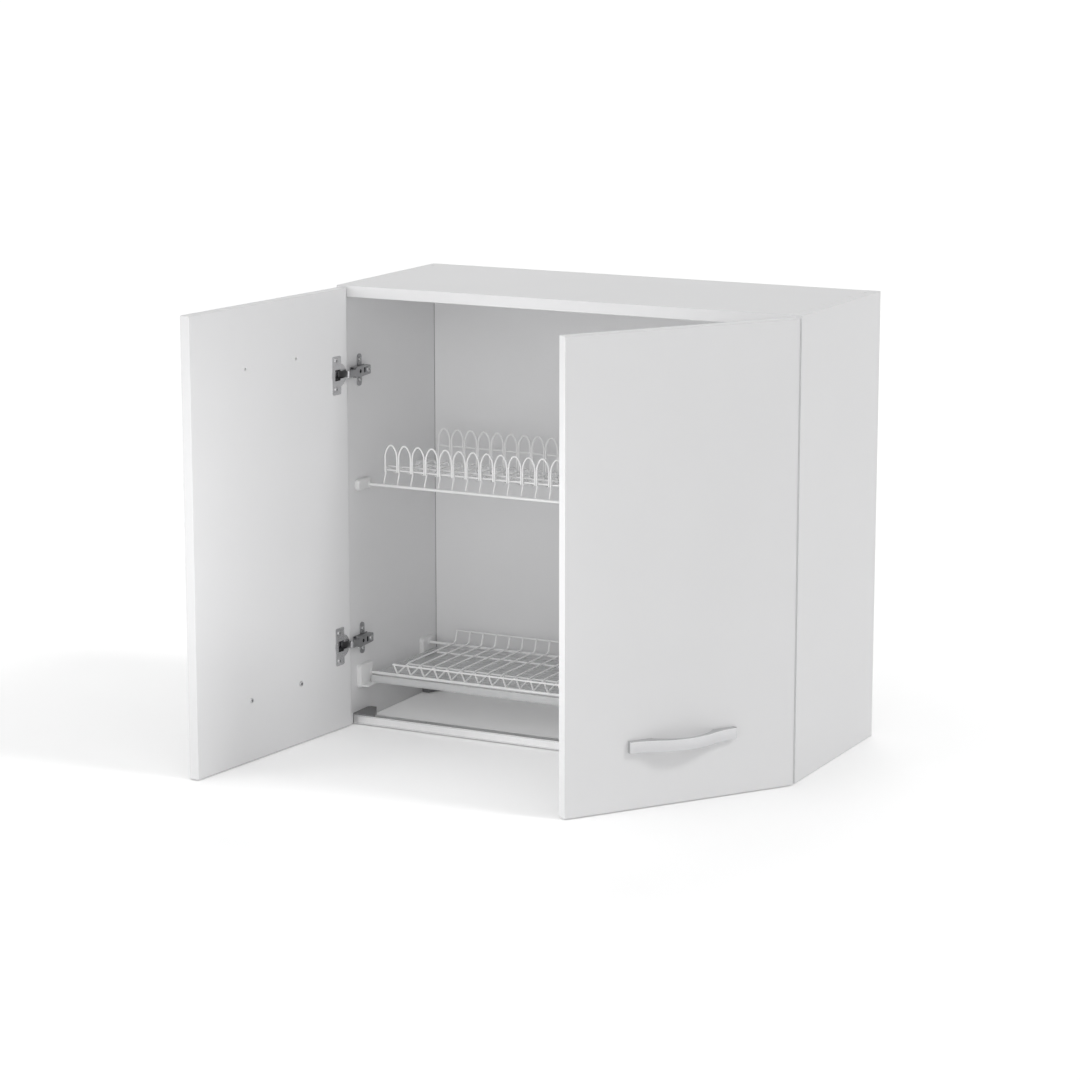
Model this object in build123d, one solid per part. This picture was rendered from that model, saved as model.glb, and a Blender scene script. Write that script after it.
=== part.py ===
from build123d import *
import math
import os

# Wall cabinet for drying dishes: an open-bottomed carcass with two full-height doors,
# a plate rack above a glass rack, and a drip tray that slides out below them.
# Origin: on the wall plane, midway between the two wall screws, X right, Y into the wall, Z up.

os.makedirs("parts", exist_ok=True)

# Carcass
carcass_width = 800
carcass_depth = 320
carcass_height = 720
panel_thickness = 18
edge_break = 0.5
hanger_drop = 60
overrun = 2
fit_gap = 0.2
seat_gap = 0.1

front = -carcass_depth
top = hanger_drop
base = top - carcass_height
inner_half = carcass_width / 2 - panel_thickness

# Back panel, held in grooves
back_thickness = 3
back_setback = 28
groove_depth = 7
back_front = -back_setback - back_thickness

# Doors
door_thickness = 18
door_reveal = 2
door_meeting_gap = 4
door_gap = 4
door_foot = 1
door_head = 3
door_width = carcass_width / 2 - door_reveal - door_meeting_gap / 2
door_height = carcass_height - door_foot - door_head
door_edge = carcass_width / 2 - door_reveal
door_inner = front - door_gap
door_outer = door_inner - door_thickness
door_low = base + door_foot
door_mid = door_low + door_height / 2
left_rest_angle = 96
right_rest_angle = 55

# Hinges: a steel cup in the door turns on a pin in the eye of a goose-neck arm
cup_radius = 17.5
cup_edge_distance = 5
cup_depth = 13.2
cup_wall = 0.8
cup_rim = 1.3
flange_thickness = 1.2
flange_height = 62
flange_inset = 18
flange_reach = 40
cup_screw_spacing = 46
cup_screw_inset = 32
bore_clearance = 0.05
hinge_end_distance = 137
pin_radius = 1
pin_inset = 9
pin_depth = 9.3
running_clearance = 0.05
eye_radius = 2.2
arm_height = 11
arm_thickness = 2
arm_standoff = 12.5
neck_radius = 3
arm_drop = 1
arm_reach = 52
channel_height = 18
channel_rear_height = 14.6
channel_depth = 7
channel_start = 6
plate_setback = 37
plate_thickness = 2
plate_wing_height = 52
plate_wing_width = 12
plate_body_length = 46
plate_hole_spacing = 32
plate_block_width = 11
screw_head_radius = 3.6
screw_head_height = 2
screw_shank_radius = 2
screw_length = 13
adjuster_radius = 3
adjuster_setback = 20
clamp_setback = 44
cheek_gap = 0.45
cheek_thickness = 2.4
mouth_far = 33.5
mouth_near = 19.5
mouth_height = 17.5
insert_length = 28
insert_height = 10.4

# Handles: a cast bow whose front runs in one sweep from end to end, open behind between two feet
handle_length = 184
handle_height = 18.5
handle_end_depth = 8
handle_crown_depth = 28
handle_crown_wall = 4.5
handle_opening = 108
handle_turn_share = 0.5
handle_hole_spacing = 128
handle_blind_depth = 8
handle_rise = 98
handle_edge = 1.2
flange_corner = 3
handle_screw_radius = 2
handle_head_radius = 4
handle_head_height = 2.2
pilot_radius = 2.5
pilot_depth = 12
pilot_spacing = 128

# Bottom frame: two aluminium rails and four corner brackets
rail_lift = 1.5
rail_height = 14
rail_depth = 16
rail_wall = 1.6
rail_end_gap = 2
rail_inset = 6
bracket_length = 53
bracket_width = 41
bracket_nose = 14
bracket_heel = 4
bracket_plate = 2.5
bracket_wall = 3
spigot_share = 0.6

# Racks
wire_radius = 1.5
frame_wire_radius = 2.5
weld_gap = 0.05
weld_run = 2.5
comb_pitch = 25
plate_side_margin = 30
glass_side_margin = 55
plate_comb_count = int((inner_half - plate_side_margin) * 2 / comb_pitch) + 1
glass_comb_count = int((inner_half - glass_side_margin) * 2 / comb_pitch) + 1

# Plate rack: its front wire above the underside and behind the front, its rear wire before the back edge
plate_frame_height = 390.5
plate_front_depth = 55
plate_rear_setback = 76
plate_rail_rise = 24.5
plate_rear_rail_rise = 36.5
front_arch_setback = 6
arch_tip_rise = 67
arch_round = 20
arch_steps = 6
arch_foot_drop = 3
cradle_crest = 4
cradle_bed_rise = 13.5
cradle_shoulder = 35
cradle_drop_run = 5
rest_wire_run = 6

# Glass rack: its front wire above the underside and behind the front, its rear wire before the back edge
glass_low_height = 77
glass_low_depth = 55
glass_rear_setback = 68
glass_lip_rise = 21
glass_lip_overhang = 15
glass_bed_rise = 13
glass_support_setback = 40
glass_middle_lead = 62
glass_rear_lip_rise = 32
glass_rear_lip_lean = 6

# Rack clips
clip_thickness = 8
clip_wire_bite = 5
clip_length = 42
clip_round = 3
peg_radius = 2.5
peg_length = 8
peg_spacing = 32
plate_clip_drop = 5.5
plate_clip_height = 17
plate_peg_rise = 8.5
plate_clip_leads = (35, 22)
glass_clip_drop = 20
glass_clip_height = 38
glass_peg_rise = 31
glass_clip_leads = (35, 22)
ledge_rise = 2.5
ledge_reach = 12
ledge_thickness = 2.5

# Drip tray
tray_wall = 2
tray_low_gap = 0.3
tray_height = 11.5
tray_lead = 7
tray_tail = 18
tray_side_gap = 1.5
tray_corner = 2

# Wall hangers behind the back panel
hanger_height_size = 54
hanger_plate = 2
hanger_leg = 25
hanger_flange = 34
hanger_hole_radius = 3.5
hanger_screw_spacing = 32

# Knock-down joint of the top panel
dowel_radius = 4
dowel_length = 30
dowel_in_side = 12
dowel_end_distance = 50


def slab(x0, x1, y0, y1, z0, z1):
    size = (abs(x1 - x0), abs(y1 - y0), abs(z1 - z0))
    return Pos((x0 + x1) / 2, (y0 + y1) / 2, (z0 + z1) / 2) * Box(*size)


def rod_z(x, y, z0, z1, radius):
    return Pos(x, y, (z0 + z1) / 2) * Cylinder(radius, abs(z1 - z0))


def rod_x(x0, x1, y, z, radius):
    return Pos((x0 + x1) / 2, y, z) * Rot(0, 90, 0) * Cylinder(radius, abs(x1 - x0))


def rod_y(x, y0, y1, z, radius):
    return Pos(x, (y0 + y1) / 2, z) * Rot(90, 0, 0) * Cylinder(radius, abs(y1 - y0))


def eased(solid, size):
    return chamfer(solid.edges(), size)


def mirrored(solids):
    return [mirror(solid, about=Plane.YZ) for solid in solids]


def save(solids, name):
    flat = []
    for item in solids:
        flat.extend(item.solids())
    for item in flat:
        item.label = name
    shape = flat[0] if len(flat) == 1 else Compound(children=flat, label=name)
    shape.label = name
    export_step(shape, "parts/" + name + ".step")


# Side and top panels

groove_front = back_front - fit_gap / 2
groove_back = -back_setback + fit_gap / 2
hinge_heights = (door_low + hinge_end_distance, door_low + door_height - hinge_end_distance)
plate_clip_low = plate_frame_height - plate_clip_drop
glass_clip_low = glass_low_height - glass_clip_drop
plate_peg_height = base + plate_clip_low + plate_peg_rise
glass_peg_height = base + glass_clip_low + glass_peg_rise
plate_rear_depth = carcass_depth - plate_rear_setback
glass_rear_depth = carcass_depth - glass_rear_setback
plate_clip_depths = (plate_front_depth - plate_clip_leads[0], plate_rear_depth - plate_clip_leads[1])
glass_clip_depths = (glass_low_depth - glass_clip_leads[0], glass_rear_depth - glass_clip_leads[1])


def peg_depths(clip_front):
    middle = front + clip_front + clip_length / 2
    return (middle - peg_spacing / 2, middle + peg_spacing / 2)


peg_places = []
for clip_front in plate_clip_depths:
    for y in peg_depths(clip_front):
        peg_places.append((y, plate_peg_height))
for clip_front in glass_clip_depths:
    for y in peg_depths(clip_front):
        peg_places.append((y, glass_peg_height))
plate_screw_places = []
for height in hinge_heights:
    for side in (-1, 1):
        plate_screw_places.append((front + plate_setback, height + side * plate_hole_spacing / 2))
hanger_screw_places = []
for side in (-1, 1):
    hanger_screw_places.append((-hanger_leg / 2 - hanger_plate, side * hanger_screw_spacing / 2))
rail_low = base + rail_lift
rail_top = rail_low + rail_height
front_rail_y = front + rail_inset
rear_rail_y = back_front - seat_gap - rail_depth
bracket_screw_z = rail_low + rail_height / 2
bracket_screw_y = front_rail_y + (rail_depth + bracket_length) / 2
bracket_mirror_y = (front_rail_y + rear_rail_y + rail_depth) / 2
bracket_screw_places = [
    (bracket_screw_y, bracket_screw_z),
    (bracket_mirror_y * 2 - bracket_screw_y, bracket_screw_z),
]
dowel_places = [front + dowel_end_distance, back_front - dowel_end_distance]
dowel_height = top - panel_thickness / 2


def side_panel():
    x0 = inner_half
    x1 = carcass_width / 2
    panel = eased(slab(x0, x1, front, 0, base, top), edge_break)
    panel -= slab(x0 - overrun, x0 + groove_depth, groove_front, groove_back, base - overrun, top + overrun)
    for y, z in peg_places:
        panel -= rod_x(x0 - overrun, x0 + peg_length + fit_gap, y, z, peg_radius + running_clearance)
    for y, z in plate_screw_places + bracket_screw_places + hanger_screw_places:
        panel -= rod_x(x0 - overrun, x0 + screw_length, y, z, screw_shank_radius + running_clearance)
    for y in dowel_places:
        hole = dowel_radius + running_clearance
        panel -= rod_x(x0 - overrun, x0 + dowel_in_side + fit_gap, y, dowel_height, hole)
    return panel


right_side = side_panel()
top_x = inner_half - seat_gap / 2
top_panel = eased(slab(-top_x, top_x, front, 0, top - panel_thickness, top), edge_break)
top_panel -= slab(
    -top_x - overrun,
    top_x + overrun,
    groove_front,
    groove_back,
    top - panel_thickness - overrun,
    top - panel_thickness + groove_depth,
)
dowel_in_top = dowel_length - dowel_in_side
for side in (-1, 1):
    for y in dowel_places:
        x_in = side * (top_x - dowel_in_top - fit_gap)
        x_out = side * (top_x + overrun)
        top_panel -= rod_x(x_in, x_out, y, dowel_height, dowel_radius + running_clearance)
save([right_side], "side_panel_right")
save(mirrored([right_side]), "side_panel_left")
save([top_panel], "top_panel")

dowels = []
for y in dowel_places:
    dowels.append(rod_x(inner_half - dowel_in_top, inner_half + dowel_in_side, y, dowel_height, dowel_radius))
save(dowels + mirrored(dowels), "top_dowels")

back_half = inner_half + groove_depth - fit_gap
back_top = top - panel_thickness + groove_depth - fit_gap
save([slab(-back_half, back_half, back_front, -back_setback, base, back_top)], "back_panel")

# Bottom frame

rail_half = inner_half - rail_end_gap


def rail(y0):
    body = slab(-rail_half, rail_half, y0, y0 + rail_depth, rail_low, rail_top)
    hollow = slab(
        -rail_half - overrun,
        rail_half + overrun,
        y0 + rail_wall,
        y0 + rail_depth - rail_wall,
        rail_low - overrun,
        rail_top - rail_wall,
    )
    return body - hollow


save([rail(front_rail_y)], "front_rail")
save([rail(rear_rail_y)], "rear_rail")


# One corner bracket at the right front corner: a cover plate over the rail, a walled body behind
# it and a spigot that plugs the end of the rail
def corner_bracket():
    x_wall = inner_half - seat_gap
    x_tip = x_wall - bracket_width
    y_rail = front_rail_y + rail_depth + seat_gap
    y_far = front_rail_y + bracket_length
    z_plate = rail_top + seat_gap
    outline = Polyline(
        (x_wall, front_rail_y),
        (x_wall, y_far - bracket_heel),
        (x_wall - bracket_heel, y_far),
        (x_wall - bracket_nose, y_far),
        (x_tip, front_rail_y),
        close=True,
    )
    face = make_face(outline)
    plate = Pos(0, 0, z_plate) * extrude(face, bracket_plate, dir=(0, 0, 1))
    body = Pos(0, 0, rail_low) * extrude(face, z_plate - rail_low, dir=(0, 0, 1))
    body -= slab(x_tip, x_wall + overrun, front - overrun, y_rail, base - overrun, top)
    pocket = offset(face, -bracket_wall, kind=Kind.INTERSECTION)
    hollow = Pos(0, 0, rail_low - overrun) * extrude(pocket, z_plate - rail_low + overrun, dir=(0, 0, 1))
    hollow -= slab(x_tip, x_wall + overrun, front - overrun, y_rail + bracket_wall, base - overrun, top)
    web_x = x_wall - rail_end_gap + seat_gap * 2
    web = slab(web_x, x_wall, front_rail_y, y_rail + bracket_wall, rail_low, z_plate + seat_gap)
    spigot = slab(
        x_wall - bracket_width * spigot_share,
        x_wall,
        front_rail_y + rail_wall + seat_gap,
        front_rail_y + rail_depth - rail_wall - seat_gap,
        rail_low,
        rail_top - rail_wall - seat_gap,
    )
    bracket = plate + (body - hollow) + web + spigot
    hole = screw_shank_radius + running_clearance
    x_hole = x_wall - bracket_wall - overrun
    bracket -= rod_x(x_hole, x_wall + overrun, bracket_screw_y, bracket_screw_z, hole)
    return bracket


# Round-headed screw that goes into a side panel along +X from its inner face or from a plate on it
def panel_screw(x_seat, y, z, head_radius, head_height):
    shank_end = inner_half + screw_length - seat_gap
    shank = rod_x(x_seat - seat_gap / 2, shank_end, y, z, screw_shank_radius)
    head = rod_x(x_seat - head_height, x_seat, y, z, head_radius)
    head = chamfer(head.edges().sort_by(Axis.X)[0], head_height / 2)
    return head + shank


right_front_bracket = corner_bracket()
right_rear_bracket = mirror(right_front_bracket, about=Plane.XZ.offset(-bracket_mirror_y))
bracket_pair = [right_front_bracket, right_rear_bracket]
save(bracket_pair + mirrored(bracket_pair), "corner_brackets")
bracket_screws = []
bracket_seat = inner_half - seat_gap - bracket_wall
for y, z in bracket_screw_places:
    bracket_screws.append(panel_screw(bracket_seat, y, z, screw_head_radius, screw_head_height))
save(bracket_screws + mirrored(bracket_screws), "bracket_screws")

# Wall hangers: an angle of sheet steel on each side panel, its flange flat against the wall

hanger_x = inner_half - seat_gap


def hanger():
    half = hanger_height_size / 2
    leg = slab(hanger_x - hanger_plate, hanger_x, -hanger_leg, 0, -half, half)
    flange = slab(hanger_x - hanger_flange, hanger_x, -hanger_plate, 0, -half, half)
    body = leg + flange
    outer_edges = body.edges().filter_by(Axis.Z).group_by(Axis.Y)[-1].sort_by(Axis.X)[-1]
    body = fillet(outer_edges, hanger_plate * 0.9)
    x_hole = hanger_x - hanger_plate - (hanger_flange - hanger_plate) / 2
    body -= rod_y(x_hole, -hanger_plate - overrun, overrun, 0, hanger_hole_radius)
    for y, z in hanger_screw_places:
        hole = screw_shank_radius + running_clearance
        body -= rod_x(hanger_x - hanger_plate - overrun, hanger_x + overrun, y, z, hole)
    return body


hangers = [hanger()]
save(hangers + mirrored(hangers), "wall_hangers")
hanger_screws = []
for y, z in hanger_screw_places:
    hanger_screws.append(panel_screw(hanger_x - hanger_plate, y, z, screw_head_radius, screw_head_height))
save(hanger_screws + mirrored(hanger_screws), "hanger_screws")

# Hinges, drawn for the right door when it is closed

pin_x = door_edge - pin_inset
pin_y = door_inner - pin_depth
cup_x = door_edge - cup_edge_distance - cup_radius
arm_x = inner_half - arm_standoff
arm_height_half = arm_height / 2
channel_half = channel_height / 2
rear_half = channel_rear_height / 2
plate_face = inner_half - plate_thickness
block_face = arm_x + arm_thickness / 2 + seat_gap


# A block that narrows in height from front to rear
def tapered(x0, x1, y0, y1, z, half_front, half_rear):
    outline = Polyline(
        (y0, z - half_front), (y1, z - half_rear), (y1, z + half_rear), (y0, z + half_front), close=True
    )
    return extrude(Plane.YZ.offset(x0) * make_face(outline), x1 - x0, dir=(1, 0, 0))


# The arm: an eye on the pin, a goose neck out of the cup, then a channel over the mounting plate
def hinge_arm(z):
    stub_y = pin_y - arm_drop
    bend_x = arm_x
    line = FilletPolyline(
        (pin_x - eye_radius / 2, stub_y),
        (bend_x, stub_y),
        (bend_x, front + channel_start + overrun),
        radius=neck_radius,
    )
    strap = Pos(0, 0, z - arm_height_half) * extrude(
        make_face(offset(line, arm_thickness / 2, side=Side.BOTH)), arm_height, dir=(0, 0, 1)
    )
    eye = rod_z(pin_x, pin_y, z - arm_height_half, z + arm_height_half, eye_radius)
    x0 = arm_x - arm_thickness / 2
    x1 = x0 + channel_depth
    y0 = front + channel_start
    y1 = front + arm_reach
    channel = tapered(x0, x1, y0, y1, z, channel_half, rear_half)
    channel = fillet(channel.edges().filter_by(Axis.X), arm_thickness)
    wall = arm_thickness
    channel -= tapered(
        x0 + wall, x1 + overrun, y0 - overrun, y1 + overrun, z, channel_half - wall, rear_half - wall
    )
    arm = strap + eye + channel
    hole = pin_radius + running_clearance
    arm -= rod_z(pin_x, pin_y, z - channel_half, z + channel_half, hole)
    arm -= rod_x(
        x0 - overrun, x0 + arm_thickness + overrun, front + adjuster_setback, z, adjuster_radius + fit_gap
    )
    slot = SlotOverall(screw_shank_radius * 5, screw_shank_radius * 2 + fit_gap * 2)
    slot_cut = Pos(x0 - overrun, front + clamp_setback, z) * extrude(
        Plane.YZ * slot, arm_thickness + overrun * 2
    )
    return arm - slot_cut


# The mounting plate: two winged ears on the panel and a raised block that carries the arm
def mounting_plate(z):
    y_mid = front + plate_setback
    wing = slab(
        plate_face,
        inner_half - seat_gap / 2,
        y_mid - plate_wing_width / 2,
        y_mid + plate_wing_width / 2,
        z - plate_wing_height / 2,
        z + plate_wing_height / 2,
    )
    wing = fillet(wing.edges().filter_by(Axis.X), plate_wing_width / 2 * 0.9)
    body_y0 = front + arm_reach + overrun - plate_body_length
    block = slab(
        block_face,
        inner_half - seat_gap / 2,
        body_y0,
        front + arm_reach,
        z - plate_block_width / 2 + arm_thickness / 2,
        z + plate_block_width / 2 - arm_thickness / 2,
    )
    skirt = slab(
        plate_face,
        inner_half - seat_gap / 2,
        body_y0,
        front + arm_reach,
        z - plate_block_width / 2 - arm_thickness,
        z + plate_block_width / 2 + arm_thickness,
    )
    plate = wing + skirt + block
    for side in (-1, 1):
        z_hole = z + side * plate_hole_spacing / 2
        hole = screw_shank_radius + fit_gap
        plate -= rod_x(plate_face - overrun, inner_half + overrun, y_mid, z_hole, hole)
    depth = block_face + arm_thickness * 2
    for setback, radius in ((adjuster_setback, adjuster_radius), (clamp_setback, screw_shank_radius)):
        plate -= rod_x(block_face - overrun, depth, front + setback, z, radius + running_clearance)
    return plate


arms = []
plates = []
plate_screws = []
arm_screws = []
for z in hinge_heights:
    arms.append(hinge_arm(z))
    plates.append(mounting_plate(z))
    arm_front = arm_x - arm_thickness / 2
    head_height = screw_head_height
    screw_end = block_face + arm_thickness * 2 - seat_gap
    clamp_y = front + clamp_setback
    clamp_head = rod_x(arm_front - head_height, arm_front - seat_gap / 2, clamp_y, z, screw_head_radius)
    clamp_shank = rod_x(arm_front - head_height, screw_end, clamp_y, z, screw_shank_radius)
    arm_screws.append(clamp_head + clamp_shank)
    adjuster_y = front + adjuster_setback
    arm_screws.append(rod_x(arm_front - seat_gap, screw_end, adjuster_y, z, adjuster_radius))
for y, z in plate_screw_places:
    plate_screws.append(panel_screw(plate_face, y, z, screw_head_radius, screw_head_height))
save(arms + mirrored(arms), "hinge_arms")
save(plates + mirrored(plates), "hinge_mounting_plates")
save(plate_screws + mirrored(plate_screws), "hinge_plate_screws")
save(arm_screws + mirrored(arm_screws), "hinge_arm_screws")

# Door parts, drawn closed on the right side

handle_z = base + handle_rise
door_centre_x = door_edge - door_width / 2
bore_depth = cup_depth + fit_gap


def door_panel():
    x0 = door_edge - door_width
    panel = eased(slab(x0, door_edge, door_outer, door_inner, door_low, door_low + door_height), edge_break)
    for z in hinge_heights:
        panel -= rod_y(cup_x, door_inner - bore_depth, door_inner + overrun, z, cup_radius + bore_clearance)
        for side in (-1, 1):
            x = door_edge - cup_screw_inset
            z_hole = z + side * cup_screw_spacing / 2
            hole = screw_shank_radius + running_clearance
            panel -= rod_y(x, door_inner - screw_length, door_inner + overrun, z_hole, hole)
    for side in (-1, 1):
        x = door_centre_x + side * handle_hole_spacing / 2
        hole = handle_screw_radius + fit_gap
        panel -= rod_y(x, door_outer - overrun, door_inner + overrun, handle_z, hole)
        x = door_centre_x + side * pilot_spacing / 2
        z_pilot = door_mid * 2 - handle_z
        panel -= rod_y(x, door_inner - pilot_depth, door_inner + overrun, z_pilot, pilot_radius)
    return panel


# Steel cup with its flange: a drawn shell whose mouth is closed but for a window for the arm
def hinge_cup(z):
    rim_face = door_inner + flange_thickness
    floor_y = door_inner - cup_depth
    cup = rod_y(cup_x, floor_y, rim_face, z, cup_radius)
    bottom = cup.edges().filter_by(GeomType.CIRCLE).sort_by(Axis.Y)[0]
    cup = fillet(bottom, cup_wall)
    cup += rod_y(cup_x, door_inner, rim_face, z, cup_radius + cup_rim)
    flange = slab(
        door_edge - flange_reach,
        door_edge - flange_inset,
        door_inner,
        rim_face,
        z - flange_height / 2,
        z + flange_height / 2,
    )
    flange = fillet(flange.edges().filter_by(Axis.Y), flange_corner)
    cup += flange
    cup -= rod_y(cup_x, floor_y + cup_wall, door_inner, z, cup_radius - cup_wall)
    window = slab(
        door_edge - mouth_far,
        door_edge - mouth_near,
        door_inner - overrun,
        rim_face + overrun,
        z - mouth_height / 2,
        z + mouth_height / 2,
    )
    slot_half = arm_height_half + cheek_gap
    slot = slab(
        door_edge - mouth_near - overrun,
        cup_x + cup_radius - cup_wall,
        door_inner - overrun,
        rim_face + overrun,
        z - slot_half,
        z + slot_half,
    )
    cup -= window + slot
    for side in (-1, 1):
        z_hole = z + side * cup_screw_spacing / 2
        hole = screw_shank_radius + fit_gap
        cup -= rod_y(door_edge - cup_screw_inset, door_inner - overrun, rim_face + overrun, z_hole, hole)
    return cup


# Moulded insert: two cheeks that hold the pin, joined behind the arm
def cup_insert(z):
    floor_y = door_inner - cup_depth + cup_wall + seat_gap / 2
    x_edge = pin_x + eye_radius
    slot_half = arm_height_half + cheek_gap
    outer = slot_half + cheek_thickness
    x_back = x_edge - insert_length
    body = slab(x_back, x_edge, floor_y, floor_y + insert_height, z - outer, z + outer)
    envelope = rod_y(cup_x, floor_y - overrun, floor_y + insert_height * 2, z, cup_radius - cup_wall - fit_gap)
    body = body & envelope
    slot_x = arm_x - arm_thickness / 2 - neck_radius
    body -= slab(slot_x, x_edge + overrun, floor_y - overrun, floor_y + insert_height + overrun, z - slot_half, z + slot_half)
    body -= rod_z(pin_x, pin_y, z - outer - overrun, z + outer + overrun, pin_radius)
    return body


def wood_screw_y(x, y_seat, z):
    head = rod_y(x, y_seat, y_seat + screw_head_height, z, screw_head_radius)
    head = chamfer(head.edges().filter_by(GeomType.CIRCLE).sort_by(Axis.Y)[-1], screw_head_height / 2)
    return head + rod_y(x, door_inner - screw_length + seat_gap, y_seat + seat_gap, z, screw_shank_radius)


# Bow handle: the front leaves each end square, sweeps up to the crown and down again
def bow_handle():
    half = handle_length / 2
    y_end = door_outer - handle_end_depth
    y_crown = door_outer - handle_crown_depth
    turn = half * handle_turn_share
    y_turn = y_end + (y_crown - y_end) * handle_turn_share
    right_toe = TangentArc((half, y_end), (turn, y_turn), tangent=(-1, 0))
    crown = ThreePointArc((turn, y_turn), (0, y_crown), (-turn, y_turn))
    left_toe = TangentArc((-half, y_end), (-turn, y_turn), tangent=(1, 0))
    inner = handle_opening / 2
    left_foot = Polyline((-half, y_end), (-half, door_outer), (-inner, door_outer))
    arch_line = ThreePointArc((-inner, door_outer), (0, y_crown + handle_crown_wall), (inner, door_outer))
    right_foot = Polyline((inner, door_outer), (half, door_outer), (half, y_end))
    profile = make_face([right_toe, crown, left_toe, left_foot, arch_line, right_foot])
    bar = Pos(0, 0, -handle_height / 2) * extrude(profile, handle_height, dir=(0, 0, 1))
    front_edges = bar.faces().filter_by(Axis.Z).edges().filter_by(GeomType.CIRCLE).sort_by(Axis.Y)[:6]
    bar = chamfer(front_edges, handle_edge)
    for side in (-1, 1):
        x = side * handle_hole_spacing / 2
        y_blind = door_outer - handle_blind_depth
        bar -= rod_y(x, y_blind, door_outer + overrun, 0, handle_screw_radius + running_clearance)
    return Pos(door_centre_x, 0, handle_z) * bar


def handle_screw(side):
    x = door_centre_x + side * handle_hole_spacing / 2
    tip = door_outer - handle_blind_depth + seat_gap
    head = rod_y(x, door_inner, door_inner + handle_head_height, handle_z, handle_head_radius)
    head = chamfer(head.edges().filter_by(GeomType.CIRCLE).sort_by(Axis.Y)[-1], handle_head_height / 2)
    return head + rod_y(x, tip, door_inner + seat_gap, handle_z, handle_screw_radius)


closed_panel = door_panel()
closed_cups = [hinge_cup(z) for z in hinge_heights]
closed_inserts = [cup_insert(z) for z in hinge_heights]
pin_half = arm_height_half + cheek_gap + cheek_thickness
closed_pins = [rod_z(pin_x, pin_y, z - pin_half, z + pin_half, pin_radius) for z in hinge_heights]
closed_cup_screws = []
for z in hinge_heights:
    for side in (-1, 1):
        x = door_edge - cup_screw_inset
        z_hole = z + side * cup_screw_spacing / 2
        closed_cup_screws.append(wood_screw_y(x, door_inner + flange_thickness, z_hole))
closed_handle = bow_handle()
closed_handle_screws = [handle_screw(side) for side in (-1, 1)]
door_sets = [
    ("door_panel", [closed_panel]),
    ("hinge_cups", closed_cups),
    ("hinge_cup_inserts", closed_inserts),
    ("hinge_pins", closed_pins),
    ("hinge_cup_screws", closed_cup_screws),
    ("handle", [closed_handle]),
    ("handle_screws", closed_handle_screws),
]
hinge_axis = Axis((pin_x, pin_y, 0), (0, 0, 1))
for name, solids in door_sets:
    right_solids = [solid.rotate(hinge_axis, right_rest_angle) for solid in solids]
    left_solids = mirrored([solid.rotate(hinge_axis, left_rest_angle) for solid in solids])
    save(right_solids, "right_" + name)
    save(left_solids, "left_" + name)

# Racks

frame_half = inner_half - clip_thickness + clip_wire_bite
wire_flats = 6
frame_flats = 8


def comb_places(count):
    return [comb_pitch * (index - (count - 1) / 2) for index in range(count)]


def half_span(count):
    return comb_pitch * (count - 1) / 2 + wire_radius


# A straight wire across the rack with flats on all four sides
def cross_wire(half, depth, height, radius):
    section = Plane.YZ * (Rot(0, 0, 180 / frame_flats) * RegularPolygon(radius, frame_flats, major_radius=False))
    return Pos(-half, front + depth, base + height) * extrude(section, half * 2, dir=(1, 0, 0))


# A bent wire through the given points, with mitred bends and flats square to the given direction
def bent_wire(points, across, radius):
    path = Polyline(*points)
    start = Plane(origin=path @ 0, x_dir=across, z_dir=path % 0)
    section = start * RegularPolygon(radius, wire_flats)
    return sweep(section, path=path, transition=Transition.RIGHT)


# The same wire as lengths that meet face to face at the mitres of the chosen bends
def wire_lengths(wire, points, bends):
    lengths = [wire]
    for index in bends:
        before, bend, after = [Vector(*points[index + step]) for step in (-1, 0, 1)]
        normal = (bend - before).normalized() + (after - bend).normalized()
        mitre = Plane(origin=bend, z_dir=normal)
        pieces = split(lengths.pop(), bisect_by=mitre, keep=Keep.BOTH).solids()
        lengths.extend(sorted(pieces, key=lambda piece: (piece.center() - bend).dot(normal)))
    return lengths


# A round-topped loop that stands across the rack between two comb places
def arch(depth, z_foot):
    half = comb_pitch / 2 - wire_radius - seat_gap
    rise = arch_round
    z_spring = base + plate_frame_height + arch_tip_rise - wire_radius - rise
    points = [(-half, front + depth, z_foot)]
    for step in range(arch_steps + 1):
        angle = math.pi * (1 - step / arch_steps)
        points.append((half * math.cos(angle), front + depth, z_spring + rise * math.sin(angle)))
    points.append((half, front + depth, z_foot))
    return bent_wire(points, (1, 0, 0), wire_radius)


wire_corner = wire_radius / math.cos(math.pi / wire_flats)
arch_flat = wire_radius * math.cos(math.pi / wire_flats)
front_arch_depth = plate_front_depth + front_arch_setback
plate_rail_height = plate_frame_height + plate_rail_rise
plate_rear_rail_height = plate_frame_height + plate_rear_rail_rise
plate_rail_depth = front_arch_depth + arch_flat + wire_radius + weld_gap
rear_arch_depth = plate_rear_depth - frame_wire_radius - arch_flat - weld_gap
rear_rail_depth = rear_arch_depth + arch_flat + wire_radius + weld_gap
plate_half = half_span(plate_comb_count)

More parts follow.
